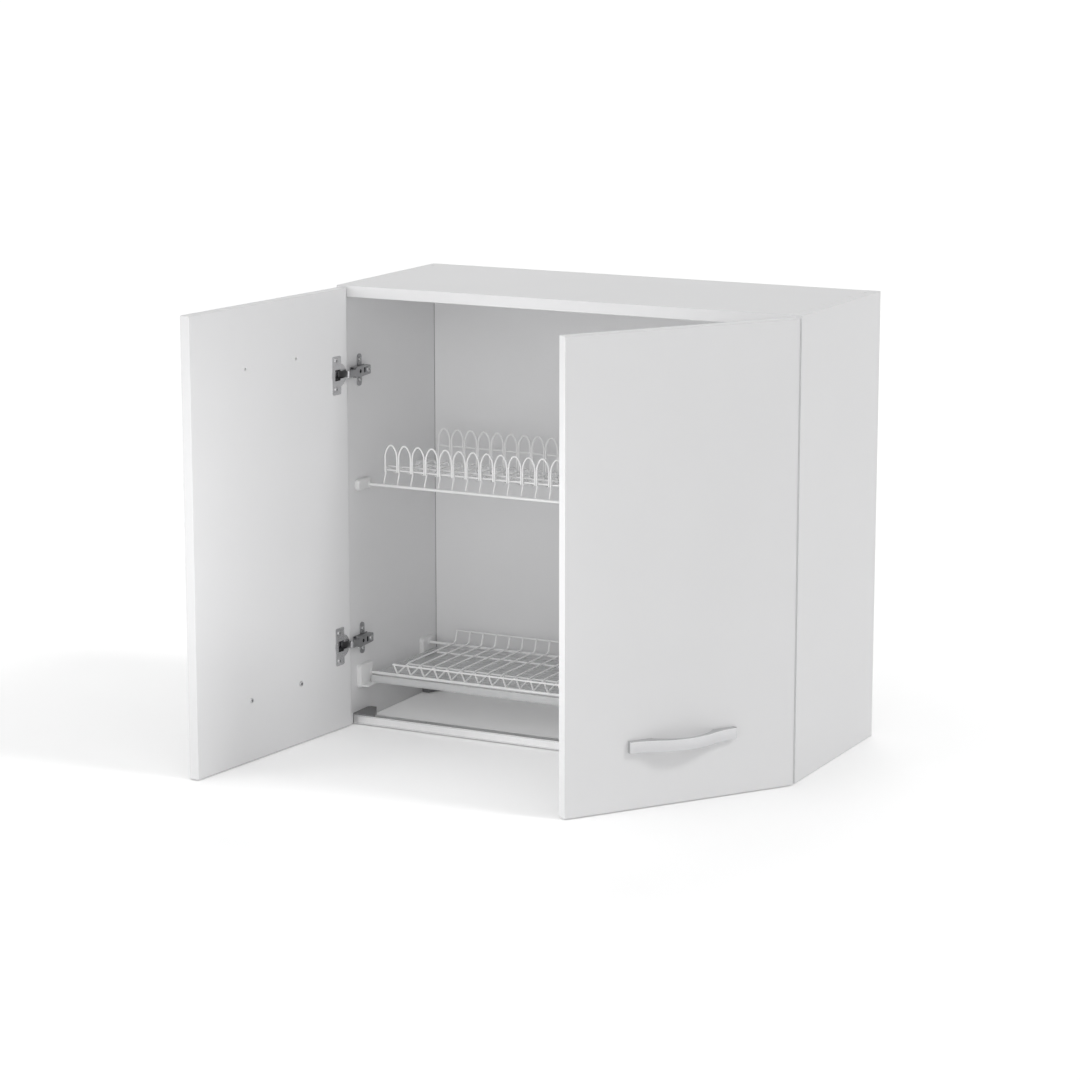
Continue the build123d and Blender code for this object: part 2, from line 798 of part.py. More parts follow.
# The rest wire lies on the slope of the cradles behind their crest
crest = Vector(plate_rail_depth + wire_radius * 2 + weld_gap + cradle_crest, plate_rail_height + cradle_crest)
shoulder = Vector(plate_rail_depth + cradle_shoulder, plate_frame_height + cradle_bed_rise)
slope = (shoulder - crest).normalized()
rest_lift = wire_radius + wire_radius / math.cos(math.pi / frame_flats) + weld_gap
rest_wire = crest + slope * rest_wire_run + Vector(-slope.Y, slope.X) * rest_lift
plate_frame = [
    cross_wire(frame_half, plate_front_depth, plate_frame_height, frame_wire_radius),
    cross_wire(frame_half, plate_rear_depth, plate_frame_height, frame_wire_radius),
    cross_wire(plate_half, plate_rail_depth, plate_rail_height, wire_radius),
    cross_wire(plate_half, rear_rail_depth, plate_rear_rail_height, wire_radius),
    cross_wire(plate_half, rest_wire.X, rest_wire.Y, wire_radius),
]
save(plate_frame, "plate_rack_frame")

front_arch = arch(front_arch_depth, base + plate_rail_height - arch_foot_drop)
rear_arch = arch(rear_arch_depth, base + plate_frame_height - wire_radius)
arch_places = comb_places(plate_comb_count - 1)
save([Pos(x, 0, 0) * front_arch for x in arch_places], "plate_rack_front_arches")
save([Pos(x, 0, 0) * rear_arch for x in arch_places], "plate_rack_rear_arches")

# A cradle wire under the plates: up behind the front wires, over a crest, along the bed and under
# the rear wire
cradle_foot = front + plate_front_depth + frame_wire_radius + wire_radius + weld_gap
cradle_front = front + plate_rail_depth + wire_radius * 2 + weld_gap
cradle_bed = base + plate_frame_height + cradle_bed_rise
cradle_back = front + rear_arch_depth - wire_radius * 3
cradle_low = base + plate_frame_height - frame_wire_radius - wire_radius - weld_gap
cradle_points = [
    (0, cradle_foot, base + plate_frame_height - wire_radius),
    (0, cradle_foot, base + plate_frame_height + weld_run),
    (0, cradle_front, base + plate_rail_height - weld_run),
    (0, cradle_front, base + plate_rail_height + wire_radius),
    (0, front + crest.X, base + crest.Y),
    (0, front + shoulder.X, cradle_bed),
    (0, cradle_back - cradle_drop_run, cradle_bed),
    (0, cradle_back, cradle_low),
    (0, front + plate_rear_depth + frame_wire_radius, cradle_low),
]
cradle = bent_wire(cradle_points, (1, 0, 0), wire_corner)
cradle_lengths = wire_lengths(cradle, cradle_points, (4, 5, 6))
cradles = [Pos(x, 0, 0) * piece for x in comb_places(plate_comb_count) for piece in cradle_lengths]
save(cradles, "plate_rack_cradles")

# Glass rack: bed wires bent to a lip, a valley over the front wire, a level bed and a rear lip
glass_half = half_span(glass_comb_count)
glass_lip_height = glass_low_height + glass_lip_rise
glass_lip_depth = glass_low_depth - glass_lip_overhang
glass_bed_height = glass_low_height + glass_bed_rise
glass_support_depth = glass_low_depth + glass_support_setback
glass_middle_depth = glass_rear_depth - glass_middle_lead
glass_rear_lip_height = glass_low_height + glass_rear_lip_rise
support_height = glass_bed_height - wire_radius * 2 - weld_gap
glass_rear_height = glass_bed_height - wire_radius - frame_wire_radius - weld_gap
glass_lip_rear = glass_rear_depth + glass_rear_lip_lean + wire_radius * 2 + weld_gap
glass_frame = [
    cross_wire(frame_half, glass_low_depth, glass_low_height, frame_wire_radius),
    cross_wire(frame_half, glass_rear_depth, glass_rear_height, frame_wire_radius),
    cross_wire(glass_half, glass_lip_depth, glass_lip_height, wire_radius),
    cross_wire(glass_half, glass_support_depth, support_height, wire_radius),
    cross_wire(glass_half, glass_middle_depth, support_height, wire_radius),
    cross_wire(glass_half, glass_lip_rear, glass_rear_lip_height, wire_radius),
]
save(glass_frame, "glass_rack_frame")
valley = base + glass_low_height + frame_wire_radius + wire_radius + weld_gap
bed_front = front + glass_lip_depth + wire_radius * 2 + weld_gap
bed_back = front + glass_rear_depth + glass_rear_lip_lean
bed_points = [
    (0, bed_front, base + glass_lip_height + wire_radius),
    (0, bed_front, base + glass_lip_height - weld_run),
    (0, front + glass_low_depth - weld_run, valley),
    (0, front + glass_low_depth + weld_run, valley),
    (0, front + glass_support_depth - weld_run, base + glass_bed_height),
    (0, front + glass_rear_depth, base + glass_bed_height),
    (0, bed_back, base + glass_rear_lip_height - weld_run),
    (0, bed_back, base + glass_rear_lip_height + wire_radius),
]
bed_wire = bent_wire(bed_points, (1, 0, 0), wire_corner)
bed_lengths = wire_lengths(bed_wire, bed_points, (3, 4, 5))
bed_wires = [Pos(x, 0, 0) * piece for x in comb_places(glass_comb_count) for piece in bed_lengths]
save(bed_wires, "glass_rack_bed_wires")


# A clip on the right side panel: a moulded block with two pegs and a socket for a frame wire
def rack_clip(clip_front, low, height, peg_z, wire_depth, wire_height):
    x_back = inner_half - seat_gap / 2
    x_face = inner_half - clip_thickness
    y0 = front + clip_front
    body = slab(x_face, x_back, y0, y0 + clip_length, base + low, base + low + height)
    body = fillet(body.edges().filter_by(Axis.X), clip_round)
    for y in peg_depths(clip_front):
        body += rod_x(x_back - overrun, inner_half + peg_length, y, peg_z, peg_radius)
    hole = frame_wire_radius / math.cos(math.pi / frame_flats) + running_clearance
    x_end = x_face + clip_wire_bite + fit_gap
    return body - rod_x(x_face - overrun, x_end, front + wire_depth, base + wire_height, hole)


plate_wire_depths = (plate_front_depth, plate_rear_depth)
plate_clips = []
for clip_front, depth in zip(plate_clip_depths, plate_wire_depths):
    clip = rack_clip(
        clip_front, plate_clip_low, plate_clip_height, plate_peg_height, depth, plate_frame_height
    )
    plate_clips.append(clip)
save(plate_clips + mirrored(plate_clips), "plate_rack_clips")

glass_wires = ((glass_low_depth, glass_low_height), (glass_rear_depth, glass_rear_height))
glass_clips = []
for clip_front, (depth, height) in zip(glass_clip_depths, glass_wires):
    clip = rack_clip(clip_front, glass_clip_low, glass_clip_height, glass_peg_height, depth, height)
    ledge_low = base + glass_clip_low + ledge_rise
    ledge = slab(
        inner_half - clip_thickness - ledge_reach,
        inner_half - clip_thickness / 2,
        front + clip_front + clip_round,
        front + clip_front + clip_length - clip_round,
        ledge_low,
        ledge_low + ledge_thickness,
    )
    glass_clips.append(clip + ledge)
save(glass_clips + mirrored(glass_clips), "glass_rack_clips")

# Drip tray
tray_half = inner_half - clip_thickness - tray_side_gap
tray_low = base + glass_clip_low + ledge_rise + ledge_thickness + tray_low_gap
tray_top = tray_low + tray_height
tray_front = front + glass_low_depth - tray_lead
tray_back = front + glass_rear_depth + tray_tail
tray_bed = tray_low + tray_wall
inner_x = tray_half - tray_wall
outline = slab(-tray_half, tray_half, tray_front, tray_back, tray_low, tray_top)
outline = fillet(outline.edges().filter_by(Axis.Z), tray_corner)
floor_block = slab(-tray_half, tray_half, tray_front, tray_back, tray_low, tray_bed)
wall_blocks = [
    slab(-tray_half, tray_half, tray_front, tray_front + tray_wall, tray_bed, tray_top),
    slab(-tray_half, tray_half, tray_back - tray_wall, tray_back, tray_bed, tray_top),
    slab(-tray_half, -inner_x, tray_front + tray_wall, tray_back - tray_wall, tray_bed, tray_top),
    slab(inner_x, tray_half, tray_front + tray_wall, tray_back - tray_wall, tray_bed, tray_top),
]
save([floor_block & outline], "drip_tray_floor")
save([block & outline for block in wall_blocks], "drip_tray_walls")
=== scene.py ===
import math

import bpy
from mathutils import Matrix, Vector


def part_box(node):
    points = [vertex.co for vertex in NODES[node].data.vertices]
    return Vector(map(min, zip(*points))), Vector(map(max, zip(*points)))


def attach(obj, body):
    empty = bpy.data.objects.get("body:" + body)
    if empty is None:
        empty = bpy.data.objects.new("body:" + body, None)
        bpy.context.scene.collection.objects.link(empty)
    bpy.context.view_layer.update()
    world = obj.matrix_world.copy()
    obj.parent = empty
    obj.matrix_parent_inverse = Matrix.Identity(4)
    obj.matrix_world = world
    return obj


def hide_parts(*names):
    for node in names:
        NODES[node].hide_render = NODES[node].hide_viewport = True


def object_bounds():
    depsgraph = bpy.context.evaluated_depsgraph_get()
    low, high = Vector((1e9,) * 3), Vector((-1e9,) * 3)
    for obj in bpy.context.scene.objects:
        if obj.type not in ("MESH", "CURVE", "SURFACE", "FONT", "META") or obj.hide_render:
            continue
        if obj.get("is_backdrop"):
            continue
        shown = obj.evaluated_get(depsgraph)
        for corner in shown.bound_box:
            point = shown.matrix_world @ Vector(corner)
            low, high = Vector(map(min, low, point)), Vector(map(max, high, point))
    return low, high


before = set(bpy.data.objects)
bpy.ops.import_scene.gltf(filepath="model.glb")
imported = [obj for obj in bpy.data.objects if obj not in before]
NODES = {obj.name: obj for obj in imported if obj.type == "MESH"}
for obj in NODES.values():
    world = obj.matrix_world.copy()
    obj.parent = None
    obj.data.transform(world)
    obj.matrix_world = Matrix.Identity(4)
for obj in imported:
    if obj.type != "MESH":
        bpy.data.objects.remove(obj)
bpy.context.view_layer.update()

# The frame's origin lies at the carcass back, HANGER above its underside; both in metres
DEPTH = 0.320
HANGER = 0.660
MM = 0.001


# A place in millimetres: X from the middle, depth behind the carcass front, height above its underside
def place(x, depth, height):
    return Vector((x * MM, depth * MM - DEPTH, height * MM - HANGER))


# A shader socket that takes part in sums and products
class Value:
    def __init__(self, nodes, socket):
        self.nodes = nodes
        self.socket = socket

    def out(self, name):
        return Value(self.nodes, self.socket.node.outputs[name])

    def _math(self, operation, *values):
        return self.nodes.node("ShaderNodeMath", {"operation": operation}, dict(enumerate(values)))

    def __add__(self, other):
        return self._math("ADD", self, other)

    def __radd__(self, other):
        return self._math("ADD", other, self)

    def __sub__(self, other):
        return self._math("SUBTRACT", self, other)

    def __rsub__(self, other):
        return self._math("SUBTRACT", other, self)

    def __mul__(self, other):
        return self._math("MULTIPLY", self, other)

    def __rmul__(self, other):
        return self._math("MULTIPLY", other, self)

    def __lt__(self, other):
        return self._math("LESS_THAN", self, other)

    def __abs__(self):
        return self._math("ABSOLUTE", self)

    def at_least(self, other):
        return self._math("MAXIMUM", self, other)

    def at_most(self, other):
        return self._math("MINIMUM", self, other)


# The nodes of one material or of the surroundings
class Nodes:
    def __init__(self, tree):
        self.tree = tree

    def feed(self, node, key, value):
        if isinstance(value, Value):
            self.tree.links.new(value.socket, node.inputs[key])
        else:
            node.inputs[key].default_value = value

    def node(self, kind, settings=None, inputs=None, output=0):
        made = self.tree.nodes.new(kind)
        for key, setting in (settings or {}).items():
            setattr(made, key, setting)
        for key, value in (inputs or {}).items():
            self.feed(made, key, value)
        return Value(self, made.outputs[output])

    # Object coordinates, turned about the vertical where a door stands open at rest
    def coordinates(self, turn=0.0, centre=(0.0, 0.0, 0.0), scale=(1.0, 1.0, 1.0)):
        coords = self.node("ShaderNodeTexCoord", output="Object")
        if turn or any(centre):
            moved = self.node("ShaderNodeVectorMath", {"operation": "SUBTRACT"}, {0: coords, 1: centre})
            coords = self.node("ShaderNodeMapping", None, {"Vector": moved, "Rotation": (0.0, 0.0, turn)})
        if scale != (1.0, 1.0, 1.0):
            coords = self.node("ShaderNodeMapping", None, {"Vector": coords, "Scale": scale})
        return coords

    def axes(self, coords):
        split = self.node("ShaderNodeSeparateXYZ", None, {0: coords})
        return [split.out(name) for name in "XYZ"]

    def noise(self, coords, scale, detail=2.0, roughness=0.5):
        inputs = {"Vector": coords, "Scale": scale, "Detail": detail, "Roughness": roughness}
        return self.node("ShaderNodeTexNoise", None, inputs)

    # First colour where the mask is zero, second where it is one; the Mix node takes colours at 6 and 7
    def blend_color(self, mask, first, second):
        colors = [color if isinstance(color, Value) else (*color, 1.0) for color in (first, second)]
        inputs = {0: mask, 6: colors[0], 7: colors[1]}
        return self.node("ShaderNodeMix", {"data_type": "RGBA"}, inputs, output=2)

    # One where nothing is near, towards zero in corners and under edges
    def openness(self, reach, local=True):
        settings = {"only_local": local, "samples": 8}
        return self.node("ShaderNodeAmbientOcclusion", settings, {"Distance": reach}, output="AO")


# One finish: a node material with a Principled shader
class Finish(Nodes):
    def __init__(self, name, color, roughness, metallic=0.0, coat=0.0, coat_roughness=0.1, specular=0.5):
        self.material = bpy.data.materials.new(name)
        self.material.use_nodes = True
        super().__init__(self.material.node_tree)
        self.shader = self.tree.nodes["Principled BSDF"]
        self.set("Base Color", (*color, 1.0))
        self.set("Roughness", roughness)
        self.set("Metallic", metallic)
        self.set("Coat Weight", coat)
        self.set("Coat Roughness", coat_roughness)
        self.set("Specular IOR Level", specular)

    def set(self, name, value):
        self.feed(self.shader, name, value)

    def bump(self, height, distance, strength=0.3):
        inputs = {"Height": height, "Distance": distance, "Strength": strength}
        self.set("Normal", self.node("ShaderNodeBump", None, inputs))


def shade(color, factor):
    return tuple(channel * factor for channel in color)


# Tones of the board and the back, and half widths of the lines drawn on the finishes, in metres
BOARD = (0.84, 0.84, 0.845)
BACKING = (0.83, 0.83, 0.835)
SEAM_HALF = 0.00018
GROOVE_HALF = 0.00035
EDGE_BAND = 0.001
# Where the painted shadow line at the back panel's rim begins, out from the middle, in metres
GROOVE_SHADOW_START = 0.3808


# White melamine board: a fine pearl grain, a faint drift of tone and the seams of the edge banding
def melamine(name, color, seams, turn=0.0, centre=(0.0, 0.0, 0.0)):
    finish = Finish(name, color, 0.42, specular=0.45)
    coords = finish.coordinates(turn, centre)
    axes = finish.axes(coords)
    line = None
    for axis, position in seams:
        hit = abs(axes[axis] - position) < SEAM_HALF
        line = hit if line is None else line.at_least(hit)
    drift = finish.noise(coords, 3.0, 3.0)
    mask = (drift * 0.35).at_most(1.0)
    if line is not None:
        mask = mask.at_least(line)
    finish.set("Base Color", finish.blend_color(mask, color, shade(color, 0.86)))
    grain = finish.noise(coords, 1400.0, 2.0)
    finish.set("Roughness", grain * 0.12 + 0.36)
    finish.bump(grain, 0.00006, 0.25)
    return finish


# Painted hardboard: a faint drift of tone, and a painted shadow line where it enters the side panels' grooves
def hardboard():
    finish = Finish("White_hardboard", BACKING, 0.5, specular=0.4)
    coords = finish.coordinates()
    drift = finish.noise(coords, 2.0, 3.0)
    paint = finish.blend_color(drift * 0.4, BACKING, shade(BACKING, 0.92))
    # Painted shadow: the back panel's rim, where it enters the grooves, is darkened to 45 %
    groove_shadow = 1.0 - (abs(finish.axes(coords)[0]) < GROOVE_SHADOW_START)
    finish.set("Base Color", finish.blend_color(groove_shadow, paint, shade(BACKING, 0.45)))
    grain = finish.noise(coords, 900.0, 3.0)
    finish.bump(grain, 0.00008, 0.3)
    return finish


# White plastic coat on wire, thick enough to flow a little
def coated_wire():
    color = (0.95, 0.95, 0.95)
    finish = Finish("White_coated_wire", color, 0.28, coat=0.4, coat_roughness=0.15)
    coords = finish.coordinates()
    flow = finish.noise(coords, 260.0, 2.0)
    finish.set("Base Color", finish.blend_color(flow * 0.5, color, shade(color, 0.94)))
    finish.bump(flow, 0.00012, 0.2)
    return finish


# Moulded plastic with a spark-eroded grain
def moulded(name, color, roughness, grain_scale=700.0):
    finish = Finish(name, color, roughness)
    coords = finish.coordinates()
    grain = finish.noise(coords, grain_scale, 3.0)
    drift = finish.noise(coords, 40.0, 2.0)
    finish.set("Base Color", finish.blend_color(drift * 0.5, color, shade(color, 0.88)))
    finish.set("Roughness", grain * 0.16 + (roughness - 0.08))
    finish.bump(grain, 0.0001, 0.25)
    return finish


# Plated steel: cloudy, finely scratched, with painted shade that darkens its corners and creases
def plated(name, color, roughness, wear=0.08, corner_shade=1.4, cloudiness=0.3):
    finish = Finish(name, color, roughness, metallic=1.0)
    coords = finish.coordinates()
    cloud = finish.noise(coords, 120.0, 4.0)
    fine = finish.noise(coords, 2400.0, 2.0)
    # Painted shade: the colour darkens where the piece's own faces come within 4 mm
    corners = ((1.0 - finish.openness(0.004)) * corner_shade).at_most(1.0)
    mask = (cloud * cloudiness).at_least(corners)
    finish.set("Base Color", finish.blend_color(mask, color, shade(color, 0.35)))
    finish.set("Roughness", cloud * wear + fine * wear + (roughness - wear * 0.5))
    return finish


# Satin anodised extrusion with drawing lines along X, and two fine grooves along its face drawn as painted
# shade
def extruded(name, color, grooves):
    finish = Finish(name, color, 0.3, metallic=1.0)
    coords = finish.coordinates(scale=(0.02, 1.0, 1.0))
    lines = finish.noise(coords, 2600.0, 3.0)
    height = finish.axes(finish.coordinates())[2]
    # The drawing lines give the metal's own tone; the groove lines are painted shade standing in for the
    # shade inside the grooves
    lines_and_groove_shade = lines * 0.25
    for at in grooves:
        lines_and_groove_shade = lines_and_groove_shade.at_least(abs(height - at) < GROOVE_HALF)
    finish.set("Base Color", finish.blend_color(lines_and_groove_shade, color, shade(color, 0.62)))
    finish.set("Roughness", lines * 0.16 + 0.22)
    finish.bump(lines, 0.00004, 0.2)
    return finish


# Bare beech with its rays drawn out along X
def beech():
    color = (0.62, 0.45, 0.28)
    finish = Finish("Bare_beech", color, 0.6)
    coords = finish.coordinates(scale=(0.08, 1.0, 1.0))
    rays = finish.noise(coords, 500.0, 3.0)
    finish.set("Base Color", finish.blend_color(rays, color, shade(color, 0.6)))
    finish.bump(rays, 0.0001, 0.3)
    return finish


# Pins about which the doors turn, and how far each stands open at rest
PIN_X = 0.389
PIN_Y = -DEPTH - 0.0133
RIGHT_OPEN = math.radians(55)
LEFT_OPEN = math.radians(96)
TOP = 0.720 - HANGER
BASE = -HANGER
DOOR_OUTER, DOOR_INNER = 0.398, 0.002
DOOR_LOW, DOOR_HIGH = BASE + 0.001, BASE + 0.717

# Seams of the edge banding: the axis that each lies square to, and its place on that axis
side_seams = ((1, -DEPTH + EDGE_BAND), (2, TOP - EDGE_BAND), (2, BASE + EDGE_BAND))
door_seams = (
    (0, DOOR_OUTER - PIN_X - EDGE_BAND),
    (0, DOOR_INNER - PIN_X + EDGE_BAND),
    (2, DOOR_LOW + EDGE_BAND),
    (2, DOOR_HIGH - EDGE_BAND),
)
mirror_seams = tuple((axis, -at if axis == 0 else at) for axis, at in door_seams)

side_board = melamine("White_melamine_sides", BOARD, side_seams)
top_board = melamine("White_melamine_top", BOARD, ((1, -DEPTH + EDGE_BAND),))
right_board = melamine("White_melamine_right_door", BOARD, door_seams, -RIGHT_OPEN, (PIN_X, PIN_Y, 0.0))
left_board = melamine("White_melamine_left_door", BOARD, mirror_seams, LEFT_OPEN, (-PIN_X, PIN_Y, 0.0))
back_board = hardboard()
wire_white = coated_wire()
clip_white = moulded("White_moulded_clip", (0.84, 0.84, 0.84), 0.32)
tray_white = moulded("Milky_tray_plastic", (0.88, 0.885, 0.89), 0.32, 300.0)
tray_white.set("Alpha", 0.45)
dark_plastic = moulded("Dark_grey_plastic", (0.03, 0.03, 0.032), 0.45)
bracket_plastic = moulded("Grey_bracket_plastic", (0.22, 0.22, 0.225), 0.5)
cup_nickel = plated("Nickel_plated_cup", (0.74, 0.74, 0.75), 0.22)
nickel = plated("Nickel_plated_steel", (0.42, 0.42, 0.43), 0.30, 0.12, 1.8)
dark_steel_and_slot_shade = plated("Blackened_steel_and_slot_shade", (0.03, 0.03, 0.032), 0.4, 0.1)
chrome = plated("Polished_chrome", (0.64, 0.64, 0.65), 0.08, 0.02, 0.4, 0.05)
zinc = plated("Zinc_plated_steel", (0.60, 0.61, 0.63), 0.36, 0.12)
screw_zinc = plated("Zinc_plated_screw", (0.68, 0.68, 0.69), 0.3, 0.1, 2.6)
RAIL_LOW, RAIL_TOP, GROOVE_IN = 1.5, 15.5, 1.4
rail_grooves = (BASE + (RAIL_LOW + GROOVE_IN) * MM, BASE + (RAIL_TOP - GROOVE_IN) * MM)
aluminium = extruded("Satin_aluminium", (0.97, 0.97, 0.972), rail_grooves)
dowel_wood = beech()

# The finish of each solid that the scene keeps or that a new piece stands in for
NODE_FINISH = {
    "side_panel_left": side_board,
    "side_panel_right": side_board,
    "top_panel": top_board,
    "back_panel": back_board,
    "top_dowels": dowel_wood,
    "front_rail": aluminium,
    "rear_rail": aluminium,
    "corner_brackets": bracket_plastic,
    "bracket_screws": screw_zinc,
    "wall_hangers": zinc,
    "hanger_screws": screw_zinc,
    "hinge_arms": nickel,
    "hinge_mounting_plates": nickel,
    "hinge_plate_screws": screw_zinc,
    "hinge_arm_screws": screw_zinc,
    "plate_rack_frame": wire_white,
    "plate_rack_front_arches": wire_white,
    "plate_rack_rear_arches": wire_white,
    "plate_rack_cradles": wire_white,
    "plate_rack_clips": clip_white,
    "glass_rack_frame": wire_white,
    "glass_rack_bed_wires": wire_white,
    "glass_rack_clips": clip_white,
    "drip_tray_floor": tray_white,
    "drip_tray_walls": tray_white,
    "left_door_panel": left_board,
    "right_door_panel": right_board,
}
for side in ("left_", "right_"):
    NODE_FINISH[side + "hinge_cups"] = cup_nickel
    NODE_FINISH[side + "hinge_cup_inserts"] = dark_plastic
    NODE_FINISH[side + "hinge_pins"] = screw_zinc
    NODE_FINISH[side + "hinge_cup_screws"] = screw_zinc
    NODE_FINISH[side + "handle"] = chrome
    NODE_FINISH[side + "handle_screws"] = screw_zinc


def dress(piece, finish):
    piece.data.materials.clear()
    piece.data.materials.append(finish.material)


for node_name, node_finish in NODE_FINISH.items():
    dress(NODES[node_name], node_finish)


# Modelling by hand: everything is let go, then one primitive is added and shaped
def let_go():
    if bpy.context.object and bpy.context.object.mode != "OBJECT":
        bpy.ops.object.mode_set(mode="OBJECT")
    bpy.ops.object.select_all(action="DESELECT")


def pick(piece):
    let_go()
    piece.select_set(True)
    bpy.context.view_layer.objects.active = piece


# The place goes into the mesh, and the object stands at the origin
def settle(piece, name):
    pick(piece)
    bpy.ops.object.transform_apply(location=True, rotation=True, scale=True)
    piece.name = name
    piece.data.name = name
    return piece


# Doubles are merged first, then all faces point outwards
def face_out(piece):
    pick(piece)
    bpy.ops.object.mode_set(mode="EDIT")
    bpy.ops.mesh.select_all(action="SELECT")
    bpy.ops.mesh.remove_doubles(threshold=0.000001)
    bpy.ops.mesh.normals_make_consistent(inside=False)
    bpy.ops.object.mode_set(mode="OBJECT")


def apply_modifier(piece, kind, **settings):
    pick(piece)
    modifier = piece.modifiers.new(kind, kind)
    for key, value in settings.items():
        setattr(modifier, key, value)
    bpy.ops.object.modifier_apply(modifier=modifier.name)


def smooth(piece, degrees=40):
    pick(piece)
    bpy.ops.object.shade_smooth_by_angle(angle=math.radians(degrees))


# A finished piece: its finish, its body and the solids that it stands in for; the slot argument is not used
def finish_piece(piece, body, finish, slot, *replaced):
    dress(piece, finish)
    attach(piece, body)
    if replaced:
        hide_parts(*replaced)
    return piece


# The least turn that counts as a bend, and the share of a run that a bend may take at its end
LEAST_BEND = math.radians(0.5)
BEND_SHARE = 0.45


# Runs and bends of a wire that passes near the given points, all in one plane square to the axis
def runs_and_bends(points, radius, axis):
    steps = []
    heading = (points[1] - points[0]).normalized()
    first = heading.copy()
    position = points[0].copy()
    for index in range(1, len(points) - 1):
        following = (points[index + 1] - points[index]).normalized()
        turn = math.atan2(axis.dot(heading.cross(following)), heading.dot(following))
        if abs(turn) < LEAST_BEND:
            continue
        short = min((points[index] - points[index - 1]).length, (points[index + 1] - points[index]).length)
        bend = min(radius, short * BEND_SHARE / math.tan(abs(turn) / 2))
        tangent = bend * math.tan(abs(turn) / 2)
        run = (points[index] - position).length - tangent
        steps.append(("run", run))
        steps.append(("bend", turn, bend))
        position = points[index] + following * tangent
        heading = following
    steps.append(("run", (points[-1] - position).length))
    return first, steps


# Sides of a bent wire's section, and degrees of a bend that one facet takes
WIRE_SIDES = 8
BEND_FACET = 11


# A round wire made as on a bending jig: a disc is drawn out along each run and spun round each bend
def bent_wire(name, start, heading, steps, axis, radius):
    let_go()
    turn = heading.to_track_quat("Z", "Y").to_euler()
    bpy.ops.mesh.primitive_circle_add(
        vertices=WIRE_SIDES, radius=radius, fill_type="NGON", location=start, rotation=turn
    )
    wire = bpy.context.object
    settle(wire, name)
    bpy.ops.object.mode_set(mode="EDIT")
    bpy.ops.mesh.select_mode(type="FACE")
    bpy.ops.mesh.select_all(action="SELECT")
    position = Vector(start)
    for step in steps:
        if step[0] == "run":
            shift = heading * step[1]
            bpy.ops.mesh.extrude_region_move(TRANSFORM_OT_translate={"value": shift})
            position = position + shift
            continue
        angle, bend = step[1], step[2]
        centre = position + axis.cross(heading) * (bend if angle > 0 else -bend)
        count = max(2, math.ceil(abs(math.degrees(angle)) / BEND_FACET))
        bpy.ops.mesh.spin(steps=count, angle=-angle, center=centre, axis=axis)
        rotation = Matrix.Rotation(angle, 3, axis)
        position = centre + rotation @ (position - centre)
        heading = rotation @ heading
    bpy.ops.object.mode_set(mode="OBJECT")
    face_out(wire)
    return wire


# A row of equal pieces, each one shift further than the last
def row_of(piece, count, shift):
    apply_modifier(
        piece,
        "ARRAY",
        count=count,
        use_relative_offset=False,
        use_constant_offset=True,
        constant_offset_displace=shift,
    )


def joined(pieces, name):
    let_go()
    for piece in pieces:
        piece.select_set(True)
    bpy.context.view_layer.objects.active = pieces[0]
    if len(pieces) > 1:
        bpy.ops.object.join()
    return settle(bpy.context.object, name)


# A straight wire along X with rounded ends
def straight_wire(name, half, depth, height, radius):
    let_go()
    bpy.ops.mesh.primitive_cylinder_add(
        vertices=14,
        radius=radius * MM,
        depth=half * 2 * MM,
        location=place(0, depth, height),
        rotation=(0, math.pi / 2, 0),
    )
    wire = settle(bpy.context.object, name)
    apply_modifier(wire, "BEVEL", width=radius * 0.4 * MM, segments=2, limit_method="ANGLE")
    return wire


ACROSS = Vector((1, 0, 0))
BACKWARD = Vector((0, 1, 0))
UP = Vector((0, 0, 1))
TO_LEFT = Matrix.Scale(-1, 4, (1, 0, 0))

# Sizes of both racks in millimetres, as the solids have them: radii of the wires, the gap at a weld, the
# pitch and number of the thin wires, and half lengths of the rods
WIRE = 1.5
FRAME_WIRE = 2.5
WELD_GAP = 0.05
PITCH = 25
PLATE_COUNT = 29
GLASS_COUNT = 27
FRAME_HALF = 379
PLATE_HALF = 351.5
GLASS_HALF = 326.5

# Depths and heights of the plate rack
PLATE_FRAME_Z = 390.5
PLATE_FRONT, PLATE_REAR = 55, 244
ARCH_FLAT = 1.3
FRONT_ARCH = 61
FRONT_RAIL = FRONT_ARCH + ARCH_FLAT + WIRE + WELD_GAP
REAR_ARCH = PLATE_REAR - FRAME_WIRE - ARCH_FLAT - WELD_GAP
REAR_RAIL = REAR_ARCH + ARCH_FLAT + WIRE + WELD_GAP
RAIL_Z, REAR_RAIL_Z = 415, 427
ARCH_FOOT = 3
ARCH_TIP = 457.5
CREST = 4
SLOPE_RUN = 35
CRADLE_Z = 404
REST_ALONG = 6

crest_depth = FRONT_RAIL + WIRE * 2 + WELD_GAP
crest = Vector((crest_depth + CREST, RAIL_Z + CREST))
shoulder = Vector((FRONT_RAIL + SLOPE_RUN, CRADLE_Z))
slope = (shoulder - crest).normalized()
rest_lift = WIRE + WIRE / math.cos(math.pi / WIRE_SIDES) + WELD_GAP
rest_wire = crest + slope * REST_ALONG + Vector((-slope.y, slope.x)) * rest_lift
plate_rods = [
    straight_wire("rod_front", FRAME_HALF, PLATE_FRONT, PLATE_FRAME_Z, FRAME_WIRE),
    straight_wire("rod_rear", FRAME_HALF, PLATE_REAR, PLATE_FRAME_Z, FRAME_WIRE),
    straight_wire("rod_front_thin", PLATE_HALF, FRONT_RAIL, RAIL_Z, WIRE),
    straight_wire("rod_rear_thin", PLATE_HALF, REAR_RAIL, REAR_RAIL_Z, WIRE),
    straight_wire("rod_rest", PLATE_HALF, rest_wire.x, rest_wire.y, WIRE),
]
plate_frame = joined(plate_rods, "plate_rack_rods")
smooth(plate_frame)
finish_piece(plate_frame, "carcass", wire_white, "coated_wire", "plate_rack_frame")


